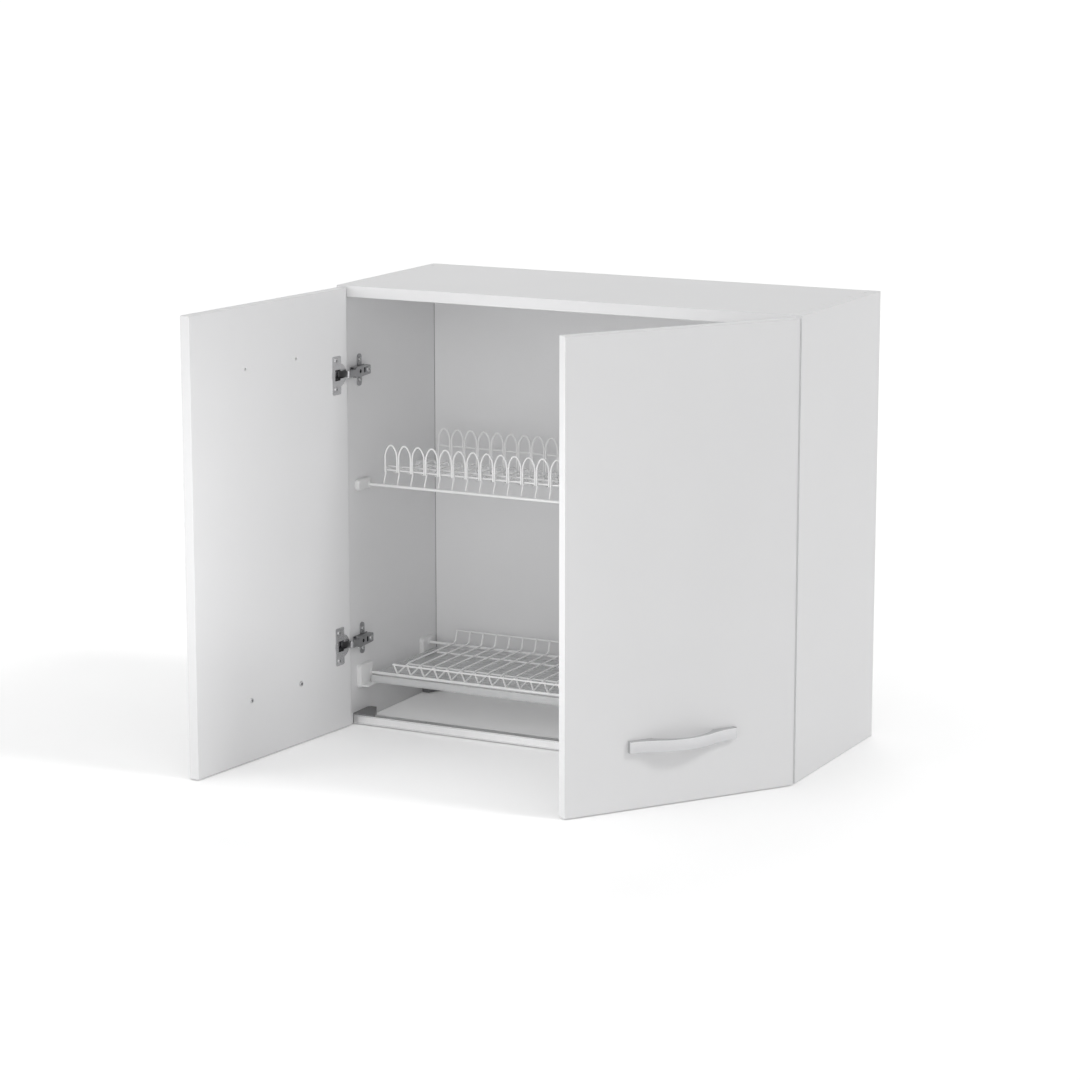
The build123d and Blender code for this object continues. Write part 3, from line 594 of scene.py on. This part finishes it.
# A row of tall round-topped loops: legs, wide shoulders that lean in, and a tighter crown
def loop_wire(name, depth, foot):
    wide, tight = 27.95, 5.69
    lean = math.radians(40)
    rise = wide * math.sin(lean) + tight * (1 - math.sin(lean))
    half = wide * (1 - math.cos(lean)) + tight * math.cos(lean)
    leg = ("run", (ARCH_TIP - WIRE - rise - foot) * MM)
    side = ("bend", lean, wide * MM)
    crown = ("bend", math.pi - lean * 2, tight * MM)
    start = place(-(PLATE_COUNT - 2) / 2 * PITCH - half, depth, foot)
    steps = [leg, side, crown, side, leg]
    wire = bent_wire(name, start, UP.copy(), steps, BACKWARD, WIRE * MM)
    row_of(wire, PLATE_COUNT - 1, (PITCH * MM, 0.0, 0.0))
    smooth(wire, 50)
    return wire


front_loops = loop_wire("plate_rack_front_loops", FRONT_ARCH, RAIL_Z - ARCH_FOOT)
finish_piece(front_loops, "carcass", wire_white, "coated_wire", "plate_rack_front_arches")
rear_loops = loop_wire("plate_rack_rear_loops", REAR_ARCH, PLATE_FRAME_Z - WIRE)
finish_piece(rear_loops, "carcass", wire_white, "coated_wire", "plate_rack_rear_arches")


# A row of thin wires bent over the rods, through points of depth and height
def comb_of_wires(name, points, count, bend):
    first = -(count - 1) / 2 * PITCH
    path = [place(first, depth, height) for depth, height in points]
    heading, steps = runs_and_bends(path, bend * MM, ACROSS)
    wire = bent_wire(name, path[0], heading, steps, ACROSS, WIRE * MM)
    row_of(wire, count, (PITCH * MM, 0.0, 0.0))
    smooth(wire, 50)
    return wire


CRADLE_BEND, BED_BEND = 8, 6
EASE = 2.5
foot_depth = PLATE_FRONT + FRAME_WIRE + WIRE + WELD_GAP
low_z = PLATE_FRAME_Z - FRAME_WIRE - WIRE - WELD_GAP
back_depth = REAR_ARCH - WIRE * 3
cradle_points = (
    (foot_depth, PLATE_FRAME_Z - WIRE),
    (foot_depth, PLATE_FRAME_Z + EASE),
    (crest_depth, RAIL_Z - EASE),
    (crest_depth, RAIL_Z + WIRE),
    (crest_depth + CREST, RAIL_Z + CREST),
    (FRONT_RAIL + SLOPE_RUN, CRADLE_Z),
    (back_depth - EASE * 2, CRADLE_Z),
    (back_depth, low_z),
    (PLATE_REAR + FRAME_WIRE, low_z),
)
cradles = comb_of_wires("plate_rack_cradle_wires", cradle_points, PLATE_COUNT, CRADLE_BEND)
finish_piece(cradles, "carcass", wire_white, "coated_wire", "plate_rack_cradles")

# Depths and heights of the glass rack
LIP_DEPTH, LIP_Z = 40, 98
LOW_DEPTH, LOW_Z = 55, 77
BED_Z = 90
SUPPORT_DEPTH, MIDDLE_DEPTH, REAR_DEPTH = 95, 190, 252
REAR_LIP_Z, REAR_LEAN = 109, 6
support_z = BED_Z - WIRE * 2 - WELD_GAP
rear_z = BED_Z - WIRE - FRAME_WIRE - WELD_GAP
rear_lip_depth = REAR_DEPTH + REAR_LEAN + WIRE * 2 + WELD_GAP
glass_rods = [
    straight_wire("rod_low", FRAME_HALF, LOW_DEPTH, LOW_Z, FRAME_WIRE),
    straight_wire("rod_back", FRAME_HALF, REAR_DEPTH, rear_z, FRAME_WIRE),
    straight_wire("rod_lip", GLASS_HALF, LIP_DEPTH, LIP_Z, WIRE),
    straight_wire("rod_support", GLASS_HALF, SUPPORT_DEPTH, support_z, WIRE),
    straight_wire("rod_middle", GLASS_HALF, MIDDLE_DEPTH, support_z, WIRE),
    straight_wire("rod_rear_lip", GLASS_HALF, rear_lip_depth, REAR_LIP_Z, WIRE),
]
glass_frame = joined(glass_rods, "glass_rack_rods")
smooth(glass_frame)
finish_piece(glass_frame, "carcass", wire_white, "coated_wire", "glass_rack_frame")

valley_z = LOW_Z + FRAME_WIRE + WIRE + WELD_GAP
bed_front = LIP_DEPTH + WIRE * 2 + WELD_GAP
bed_back = REAR_DEPTH + REAR_LEAN
bed_points = (
    (bed_front, LIP_Z + WIRE),
    (bed_front, LIP_Z - EASE),
    (LOW_DEPTH - EASE, valley_z),
    (LOW_DEPTH + EASE, valley_z),
    (SUPPORT_DEPTH - EASE, BED_Z),
    (REAR_DEPTH, BED_Z),
    (bed_back, REAR_LIP_Z - EASE),
    (bed_back, REAR_LIP_Z + WIRE),
)
bed_wires = comb_of_wires("glass_rack_bed_rods", bed_points, GLASS_COUNT, BED_BEND)
finish_piece(bed_wires, "carcass", wire_white, "coated_wire", "glass_rack_bed_wires")


# Copies of a model, each with its own mesh, set in place and joined
def copies(model, name, matrices):
    made = []
    for matrix in matrices:
        copy = model.copy()
        copy.data = model.data.copy()
        bpy.context.scene.collection.objects.link(copy)
        copy.data.transform(matrix)
        made.append(copy)
    return joined(made, name)


# Marks the edges of a mesh in edit mode whose two ends both pass the test
def mark_edges(piece, wanted):
    bpy.ops.object.mode_set(mode="EDIT")
    bpy.ops.mesh.select_mode(type="EDGE")
    bpy.ops.mesh.select_all(action="DESELECT")
    bpy.ops.object.mode_set(mode="OBJECT")
    points = piece.data.vertices
    for edge in piece.data.edges:
        edge.select = wanted(points[edge.vertices[0]].co, points[edge.vertices[1]].co)
    bpy.ops.object.mode_set(mode="EDIT")


# Marks the faces of a mesh in edit mode whose normal passes the test
def mark_faces(piece, wanted):
    bpy.ops.object.mode_set(mode="EDIT")
    bpy.ops.mesh.select_mode(type="FACE")
    bpy.ops.mesh.select_all(action="DESELECT")
    bpy.ops.object.mode_set(mode="OBJECT")
    for polygon in piece.data.polygons:
        polygon.select = wanted(polygon.normal)
    bpy.ops.object.mode_set(mode="EDIT")


# A moulded block between two corners, its corners rounded about X and its inner face eased
def moulded_block(name, low, high, corner, ease):
    let_go()
    bpy.ops.mesh.primitive_cube_add(size=1, location=(low + high) / 2)
    block = bpy.context.object
    block.scale = high - low
    settle(block, name)
    mark_edges(block, lambda a, b: abs(a.x - b.x) > (high.x - low.x) / 2)
    bpy.ops.mesh.bevel(offset=corner, segments=6, profile=0.5)
    mark_edges(block, lambda a, b: max(a.x, b.x) < low.x + ease / 2)
    bpy.ops.mesh.bevel(offset=ease, segments=3, profile=0.5)
    bpy.ops.object.mode_set(mode="OBJECT")
    return block


# A round boss or peg along X with its inner rim eased
def boss(name, x_low, x_high, depth, height, radius, ease):
    low, high = place(x_low, depth, height), place(x_high, depth, height)
    let_go()
    bpy.ops.mesh.primitive_cylinder_add(
        vertices=24, radius=radius * MM, depth=(high - low).length, location=(low + high) / 2,
        rotation=(0, math.pi / 2, 0),
    )
    made = settle(bpy.context.object, name)
    apply_modifier(made, "BEVEL", width=ease * MM, segments=3, limit_method="ANGLE")
    return made


# Places across the cabinet of a rack clip's block, collar, bore and pegs, and its other sizes
CLIP_ACROSS = (374, 381.9)
COLLAR_ACROSS = (372.8, 378)
BORE_ACROSS = (370, 379.2)
PEG_ACROSS = (380, 389.8)
COLLAR_RADIUS, BORE_RADIUS, PEG_RADIUS = 5.3, 2.75, 2.45
CLIP_LENGTH = 42
CLIP_CORNER, CLIP_EASE = 6 * MM, 1.8 * MM
PEG_SPREAD = 16
CLIP_FRONT = 20
PLATE_CLIP_REAR, PLATE_CLIP_LOW, PLATE_CLIP_HEIGHT, PLATE_PEG_Z = 222, 385, 17, 393.5
GLASS_CLIP_REAR, GLASS_CLIP_LOW, GLASS_CLIP_HEIGHT, GLASS_PEG_Z = 230, 57, 38, 88


# A rack clip on the right panel: block, collar round the wire's socket, and two pegs
def rack_clip(first, low, height, peg_height, wire_depth, wire_height):
    block_low = place(CLIP_ACROSS[0], first, low)
    block_high = place(CLIP_ACROSS[1], first + CLIP_LENGTH, low + height)
    block = moulded_block("clip", block_low, block_high, CLIP_CORNER, CLIP_EASE)
    collar = boss("collar", *COLLAR_ACROSS, wire_depth, wire_height, COLLAR_RADIUS, 0.5)
    bore = boss("bore", *BORE_ACROSS, wire_depth, wire_height, BORE_RADIUS, 0.1)
    for solid in (block, collar):
        apply_modifier(solid, "BOOLEAN", operation="DIFFERENCE", object=bore, solver="EXACT")
    bpy.data.objects.remove(bore, do_unlink=True)
    middle = first + CLIP_LENGTH / 2
    pegs = [
        boss("peg", *PEG_ACROSS, middle + shift, peg_height, PEG_RADIUS, 0.6)
        for shift in (-PEG_SPREAD, PEG_SPREAD)
    ]
    return [block, collar, *pegs]


# Clips of the right panel and their mirror image on the left one
def both_sides(parts, name, node_name):
    model = joined(parts, name + "_model")
    made = copies(model, name, [Matrix.Identity(4), TO_LEFT])
    bpy.data.objects.remove(model, do_unlink=True)
    face_out(made)
    smooth(made, 35)
    return finish_piece(made, "carcass", clip_white, "white_plastic", node_name)


plate_clip_parts = []
for first, wire_depth in ((CLIP_FRONT, PLATE_FRONT), (PLATE_CLIP_REAR, PLATE_REAR)):
    plate_clip_parts += rack_clip(
        first, PLATE_CLIP_LOW, PLATE_CLIP_HEIGHT, PLATE_PEG_Z, wire_depth, PLATE_FRAME_Z
    )
both_sides(plate_clip_parts, "plate_rack_round_clips", "plate_rack_clips")

# The lower clips have a ledge that carries the tray's rim
LEDGE_ACROSS, LEDGE_HEIGHTS, LEDGE_IN = (362, 377), (59.5, 62), 3
glass_clip_parts = []
for first, wire_depth, wire_height in ((CLIP_FRONT, LOW_DEPTH, LOW_Z), (GLASS_CLIP_REAR, REAR_DEPTH, rear_z)):
    glass_clip_parts += rack_clip(
        first, GLASS_CLIP_LOW, GLASS_CLIP_HEIGHT, GLASS_PEG_Z, wire_depth, wire_height
    )
    ledge_low = place(LEDGE_ACROSS[0], first + LEDGE_IN, LEDGE_HEIGHTS[0])
    ledge_high = place(LEDGE_ACROSS[1], first + CLIP_LENGTH - LEDGE_IN, LEDGE_HEIGHTS[1])
    glass_clip_parts.append(moulded_block("ledge", ledge_low, ledge_high, 0.8 * MM, 0.6 * MM))
both_sides(glass_clip_parts, "glass_rack_round_clips", "glass_rack_clips")

# Drain ribs on the tray's floor
RIB_HALF, RIB_FIRST, RIB_WIDTH, RIB_COUNT, RIB_PITCH = 356, 65, 2.4, 12, 17
RIB_HEIGHTS = (64.0, 65.1)
rib_low = place(-RIB_HALF, RIB_FIRST, RIB_HEIGHTS[0])
rib_high = place(RIB_HALF, RIB_FIRST + RIB_WIDTH, RIB_HEIGHTS[1])
rib = moulded_block("drip_tray_ribs", rib_low, rib_high, 0.35 * MM, 0.3 * MM)
row_of(rib, RIB_COUNT, (0.0, RIB_PITCH * MM, 0.0))
smooth(rib, 40)
finish_piece(rib, "tray", tray_white, "tray_plastic")


# Length, width and depth of a recess, as shares of the head's radius and height
RECESS_REACH, RECESS_WIDTH, RECESS_DEPTH = 1.15, 0.26, 1.1


# A screw with a rounded head and a cross recess, standing on z = 0 with its shank below
def cross_screw(name, head_radius, head_height, shank_radius, shank_length):
    let_go()
    bpy.ops.mesh.primitive_cylinder_add(
        vertices=28, radius=head_radius, depth=head_height, location=(0, 0, head_height / 2)
    )
    head = settle(bpy.context.object, name)
    mark_faces(head, lambda normal: normal.z > 0.9)
    bpy.ops.mesh.bevel(offset=head_height * 0.55, segments=4, profile=0.5)
    mark_faces(head, lambda normal: normal.z < -0.9)
    bpy.ops.mesh.inset(thickness=head_radius - shank_radius)
    bpy.ops.mesh.extrude_region_move(TRANSFORM_OT_translate={"value": (0, 0, -shank_length)})
    bpy.ops.object.mode_set(mode="OBJECT")
    arms = []
    for turn in (0, math.pi / 2):
        let_go()
        bpy.ops.mesh.primitive_cube_add(size=1, location=(0, 0, head_height), rotation=(0, 0, turn))
        arm = bpy.context.object
        arm.scale = (head_radius * RECESS_REACH, head_radius * RECESS_WIDTH, head_height * RECESS_DEPTH)
        arms.append(settle(arm, "recess"))
    for arm in arms:
        apply_modifier(head, "BOOLEAN", operation="DIFFERENCE", object=arm, solver="EXACT")
    for arm in arms:
        bpy.data.objects.remove(arm, do_unlink=True)
    face_out(head)
    smooth(head, 35)
    return head


# A placing that turns the head's +Z to the given direction about the seat
def seat(position, direction, spin=0.0):
    turn = Vector(direction).to_track_quat("Z", "Y").to_matrix().to_4x4()
    return Matrix.Translation(position) @ turn @ Matrix.Rotation(spin, 4, "Z")


# The middles of a node's screws, one at each end of its box along the depth or the height
def screw_spots(node_name, low, high):
    if node_name == "bracket_screws":
        middle = (low[2] + high[2]) / 2
        return (low[1] + HEAD, middle), (high[1] - HEAD, middle)
    middle = (low[1] + high[1]) / 2
    return (middle, low[2] + HEAD), (middle, high[2] - HEAD)


# Heights of the hinges, and the seats of the screws in their plates and arms
HEAD = 3.6 * MM
HINGE_HEIGHTS = (138, 581)
PLATE_SEAT_X, PLATE_SEAT_DEPTH, PLATE_SPREAD = 380, 37, 16
CLAMP_X, CLAMP_DEPTH = 368.45, 44
ADJUSTER_X, ADJUSTER_DEPTH = 369.2, 20

board_screw = cross_screw("board_screw", HEAD, 2.0 * MM, 2.0 * MM, 12.0 * MM)
clamp = cross_screw("clamp", 4.4 * MM, 1.9 * MM, 2.0 * MM, 12.0 * MM)
adjuster = cross_screw("adjuster", 2.95 * MM, 1.0 * MM, 2.9 * MM, 5.0 * MM)
plate_screws = []
arm_screws = []
adjusters = []
for height in HINGE_HEIGHTS:
    for side in (-1, 1):
        inward = (-side, 0, 0)
        for shift in (-PLATE_SPREAD, PLATE_SPREAD):
            spot = place(side * PLATE_SEAT_X, PLATE_SEAT_DEPTH, height + shift)
            plate_screws.append(seat(spot, inward, 0.4 + shift * 0.05))
        arm_screws.append(seat(place(side * CLAMP_X, CLAMP_DEPTH, height), inward, 0.9))
        adjusters.append(seat(place(side * ADJUSTER_X, ADJUSTER_DEPTH, height), inward, 0.2))
plate_heads = copies(board_screw, "hinge_plate_cross_screws", plate_screws)
finish_piece(plate_heads, "carcass", screw_zinc, "screw", "hinge_plate_screws")
clamp_heads = copies(clamp, "hinge_clamp_cross_screws", arm_screws)
finish_piece(clamp_heads, "carcass", screw_zinc, "screw", "hinge_arm_screws")
adjuster_heads = copies(adjuster, "hinge_adjusters", adjusters)
finish_piece(adjuster_heads, "carcass", dark_steel_and_slot_shade, "screw")

# Painted shade of the arms' locking cam slots: thin dark blocks, modelled at the cabinet's foot and raised to
# the hinges
SLOT_ACROSS, SLOT_DEPTHS, SLOT_HALF = (368.3, 369.4), (30.8, 35.4), 4.4
slot_low = place(SLOT_ACROSS[0], SLOT_DEPTHS[0], -SLOT_HALF)
slot_high = place(SLOT_ACROSS[1], SLOT_DEPTHS[1], SLOT_HALF)
# Painted shade: a thin block in the dark steel finish darkens the arm where its cam slot lies
cam_slot_shade = moulded_block("cam_slot_shade", slot_low, slot_high, 2.1 * MM, 0.1 * MM)
slot_places = []
for height in HINGE_HEIGHTS:
    rise = Matrix.Translation((0, 0, height * MM))
    slot_places += [rise, TO_LEFT @ rise]
cam_slot_shades = copies(cam_slot_shade, "hinge_cam_slot_shades", slot_places)
bpy.data.objects.remove(cam_slot_shade, do_unlink=True)
face_out(cam_slot_shades)
smooth(cam_slot_shades, 40)
finish_piece(cam_slot_shades, "carcass", dark_steel_and_slot_shade, "hinge_steel")


# Screws through the brackets and the wall hangers, seated where the solids have theirs
for node_name, piece_name, seat_x in (
    ("bracket_screws", "bracket_cross_screws", 378.9),
    ("hanger_screws", "hanger_cross_screws", 379.9),
):
    low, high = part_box(node_name)
    spots = []
    for side in (-1, 1):
        for y, z in screw_spots(node_name, low, high):
            spots.append(seat(Vector((side * seat_x * MM, y, z)), (-side, 0, 0), 0.3 + y * 9))
    heads = copies(board_screw, piece_name, spots)
    finish_piece(heads, "carcass", screw_zinc, "screw", node_name)


# Door parts are modelled closed on the right, then turned about the pin; the left ones are mirrored
def door_matrix(side):
    pin = Matrix.Translation((PIN_X, PIN_Y, 0))
    if side > 0:
        return pin @ Matrix.Rotation(RIGHT_OPEN, 4, "Z") @ pin.inverted()
    return TO_LEFT @ pin @ Matrix.Rotation(LEFT_OPEN, 4, "Z") @ pin.inverted()


# Depths of the closed door's faces, and places and sizes of the cups' screws and of the bow handle
DOOR_BACK, DOOR_FRONT = -4, -22
CUP_X, CUP_FLANGE, CUP_SPREAD = 366, 1.2, 23
HANDLE_X, HANDLE_Z, HANDLE_SPREAD = 200, 98, 64
BOW_HEIGHT = 18.5
BOW_HALF = 92
BOW_END = 8
BOW_CROWN = 28
BOW_WALL = 4.5
BOW_OPENING = 54

cup_screw_seats = []
for height in HINGE_HEIGHTS:
    for shift in (-CUP_SPREAD, CUP_SPREAD):
        spot = place(CUP_X, DOOR_BACK + CUP_FLANGE, height + shift)
        cup_screw_seats.append(seat(spot, BACKWARD, 0.5 + shift * 0.03))
handle_screw_seats = []
for shift in (-HANDLE_SPREAD, HANDLE_SPREAD):
    handle_screw_seats.append(seat(place(HANDLE_X + shift, DOOR_BACK, HANDLE_Z), BACKWARD, shift * 0.02))
handle_screw = cross_screw("handle_screw", 4.0 * MM, 2.2 * MM, 2.0 * MM, 19.0 * MM)


# How far the front of the bow stands off the door: two arcs that meet halfway to each end
def bow_front(across):
    half_rise = (BOW_CROWN - BOW_END) / 2
    half_run = BOW_HALF / 2
    sweep = (half_run ** 2 + half_rise ** 2) / half_rise / 2
    if abs(across) < half_run:
        return BOW_CROWN - sweep + math.sqrt(sweep ** 2 - across ** 2)
    return BOW_END + sweep - math.sqrt(sweep ** 2 - (BOW_HALF - abs(across)) ** 2)


# How far the hollow back of the bow stands off the door: one arc across the opening
def bow_back(across):
    if abs(across) >= BOW_OPENING:
        return 0.0
    rise = BOW_CROWN - BOW_WALL
    sweep = (BOW_OPENING ** 2 + rise ** 2) / rise / 2
    return rise - sweep + math.sqrt(sweep ** 2 - across ** 2)


# Chrome bow: the end face is drawn along the handle, moved out and thinned at each station
def bow(name):
    foot = [BOW_HALF, 84, 74, 64, BOW_OPENING + 0.4, BOW_OPENING - 0.4]
    span = [50 - 2.5 * step for step in range(41)]
    stations = foot + span + [-at for at in reversed(foot)]
    end = place(HANDLE_X + BOW_HALF, DOOR_FRONT - BOW_END / 2, HANDLE_Z)
    let_go()
    bpy.ops.mesh.primitive_plane_add(size=1, location=end, rotation=(0, math.pi / 2, 0))
    bar = bpy.context.object
    bar.scale = (BOW_HEIGHT * MM, BOW_END * MM, 1)
    settle(bar, name)
    bpy.ops.object.mode_set(mode="EDIT")
    bpy.ops.mesh.select_mode(type="FACE")
    bpy.ops.mesh.select_all(action="SELECT")
    middle, thickness, across = BOW_END / 2, BOW_END, BOW_HALF
    for station in stations[1:]:
        front, back = bow_front(station), bow_back(station)
        shift = ((station - across) * MM, (middle - (front + back) / 2) * MM, 0)
        bpy.ops.mesh.extrude_region_move(TRANSFORM_OT_translate={"value": shift})
        middle, across = (front + back) / 2, station
        centre = place(HANDLE_X + across, DOOR_FRONT - middle, HANDLE_Z)
        bpy.ops.transform.resize(value=(1, (front - back) / thickness, 1), center_override=centre)
        thickness = front - back
    bpy.ops.object.mode_set(mode="OBJECT")
    face_out(bar)
    corners = {"limit_method": "ANGLE", "angle_limit": math.radians(50)}
    apply_modifier(bar, "BEVEL", width=0.9 * MM, segments=3, **corners)
    smooth(bar, 35)
    return bar


model_bow = bow("bow_model")
for side, prefix, body in ((-1, "left", "left_door"), (1, "right", "right_door")):
    turn = door_matrix(side)
    cup_seats = [turn @ spot for spot in cup_screw_seats]
    handle_seats = [turn @ spot for spot in handle_screw_seats]
    cup_heads = copies(board_screw, prefix + "_cup_cross_screws", cup_seats)
    handle_heads = copies(handle_screw, prefix + "_handle_cross_screws", handle_seats)
    grip = copies(model_bow, prefix + "_bow_handle", [turn])
    for piece in (cup_heads, handle_heads, grip):
        face_out(piece)
        smooth(piece, 30)
    finish_piece(cup_heads, body, screw_zinc, "screw", prefix + "_hinge_cup_screws")
    finish_piece(handle_heads, body, screw_zinc, "screw", prefix + "_handle_screws")
    finish_piece(grip, body, chrome, "handle_chrome", prefix + "_handle")
for model in (board_screw, clamp, adjuster, handle_screw, model_bow):
    bpy.data.objects.remove(model, do_unlink=True)


# The floor's glow where something stands near, what open floor adds to it, and how far near reaches; the glow
# that fades near the object is painted shade
FLOOR_GLOW = 0.13
FLOOR_OPEN_GLOW = 0.21
FLOOR_REACH = 0.6
FLOOR_SIZE, FLOOR_BACK, FLOOR_DROP = 120, 30, 0.0004


# Floor that shows white to the camera where nothing stands near, and keeps the shadows; its glow fades near
# the object as painted shade
def floor_finish():
    finish = Finish("Pale_floor", (0.93, 0.93, 0.93), 0.7, specular=0.1)
    path = finish.node("ShaderNodeLightPath")
    seen = path.out("Is Camera Ray").at_least(path.out("Is Glossy Ray"))
    # Painted shade: the glow weakens where ambient occlusion finds the object within FLOOR_REACH
    clear = finish.openness(FLOOR_REACH, local=False)
    strength = seen * (clear * clear * FLOOR_OPEN_GLOW + FLOOR_GLOW)
    glow = finish.node("ShaderNodeEmission", None, {"Color": (1.0, 1.0, 1.0, 1.0), "Strength": strength})
    surface = Value(finish, finish.shader.outputs[0])
    both = finish.node("ShaderNodeAddShader", None, {0: surface, 1: glow})
    finish.feed(finish.tree.nodes["Material Output"], "Surface", both)
    return finish


let_go()
bpy.ops.mesh.primitive_plane_add(size=FLOOR_SIZE, location=(0, FLOOR_BACK, BASE - FLOOR_DROP))
floor = settle(bpy.context.object, "floor")
dress(floor, floor_finish())
floor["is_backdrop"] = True

# Light of the surroundings on the object, and how much the ceiling darkens in reflections
SKY_LIGHT = 0.47
CEILING_DROP = 0.85


# White for the camera, a ceiling that darkens in reflections, softer light on the object
def sky_strength(sky):
    path = sky.node("ShaderNodeLightPath")
    coords = sky.node("ShaderNodeTexCoord", output="Generated")
    height = sky.axes(coords)[2].at_least(0.0).at_most(1.0)
    ceiling = 1.0 - height * CEILING_DROP
    clear = path.out("Is Camera Ray").at_least(path.out("Is Transmission Ray"))
    mirrored = path.out("Is Glossy Ray") * (1.0 - clear)
    diffuse = (1.0 - path.out("Is Glossy Ray")).at_most(1.0 - clear)
    return clear + mirrored * ceiling + diffuse * SKY_LIGHT


world = bpy.data.worlds.new("Surroundings")
bpy.context.scene.world = world
world.use_nodes = True
sky = Nodes(world.node_tree)
background = sky.tree.nodes["Background"]
sky.feed(background, "Strength", sky_strength(sky))
sky.feed(background, "Color", (1.0, 1.0, 1.0, 1.0))


# A distant lamp: the way towards it, its strength, and the angle in degrees that softens its shadows
def soft_light(name, direction, strength, spread):
    way = Vector(direction).normalized()
    let_go()
    bpy.ops.object.light_add(type="SUN", location=way * 4)
    lamp = bpy.context.object
    lamp.name = name
    lamp.rotation_euler = way.to_track_quat("Z", "Y").to_euler()
    lamp.data.energy = strength
    lamp.data.angle = math.radians(spread)
    return lamp


soft_light("front_light", (-0.6, -0.7, 0.16), 0.8, 30)
soft_light("side_light", (0.72, 0.05, 0.69), 0.75, 14)
soft_light("back_light", (-0.3, 0.6, 0.75), 0.35, 25)
soft_light("window_light", (0.35, -0.9, 0.25), 0.30, 30)


# A weak panel light before the open doors, aimed into the cabinet
def panel_light(name, position, direction, power, width):
    let_go()
    bpy.ops.object.light_add(type="AREA", location=position)
    lamp = bpy.context.object
    lamp.name = name
    lamp.rotation_euler = Vector(direction).to_track_quat("Z", "Y").to_euler()
    lamp.data.energy = power
    lamp.data.size = width
    lamp.visible_camera = False
    return lamp


panel_light("inner_light", (-0.12, -0.95, -0.25), (0.05, -1.0, 0.0), 0.85, 0.5)

# Camera at the photograph's height, turned to the left and tilted down, as fitted to the photograph
CAMERA_SPOT = (2279.176, -4556.090, 1391.744)
TILT_DOWN, TURN_LEFT = 11.634, 26.944
FOCAL_PIXELS, FRAME_PIXELS, SENSOR = 3334.604, 1080, 36.0
let_go()
bpy.ops.object.camera_add(
    location=place(*CAMERA_SPOT),
    rotation=(math.radians(90 - TILT_DOWN), 0, math.radians(TURN_LEFT)),
)
camera = bpy.context.object
camera.name = "view_camera"
camera.data.sensor_width = SENSOR
camera.data.lens = FOCAL_PIXELS / FRAME_PIXELS * SENSOR
camera.data.clip_end = 200.0
bpy.context.scene.camera = camera
bpy.context.scene.view_settings.view_transform = "Standard"

low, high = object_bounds()
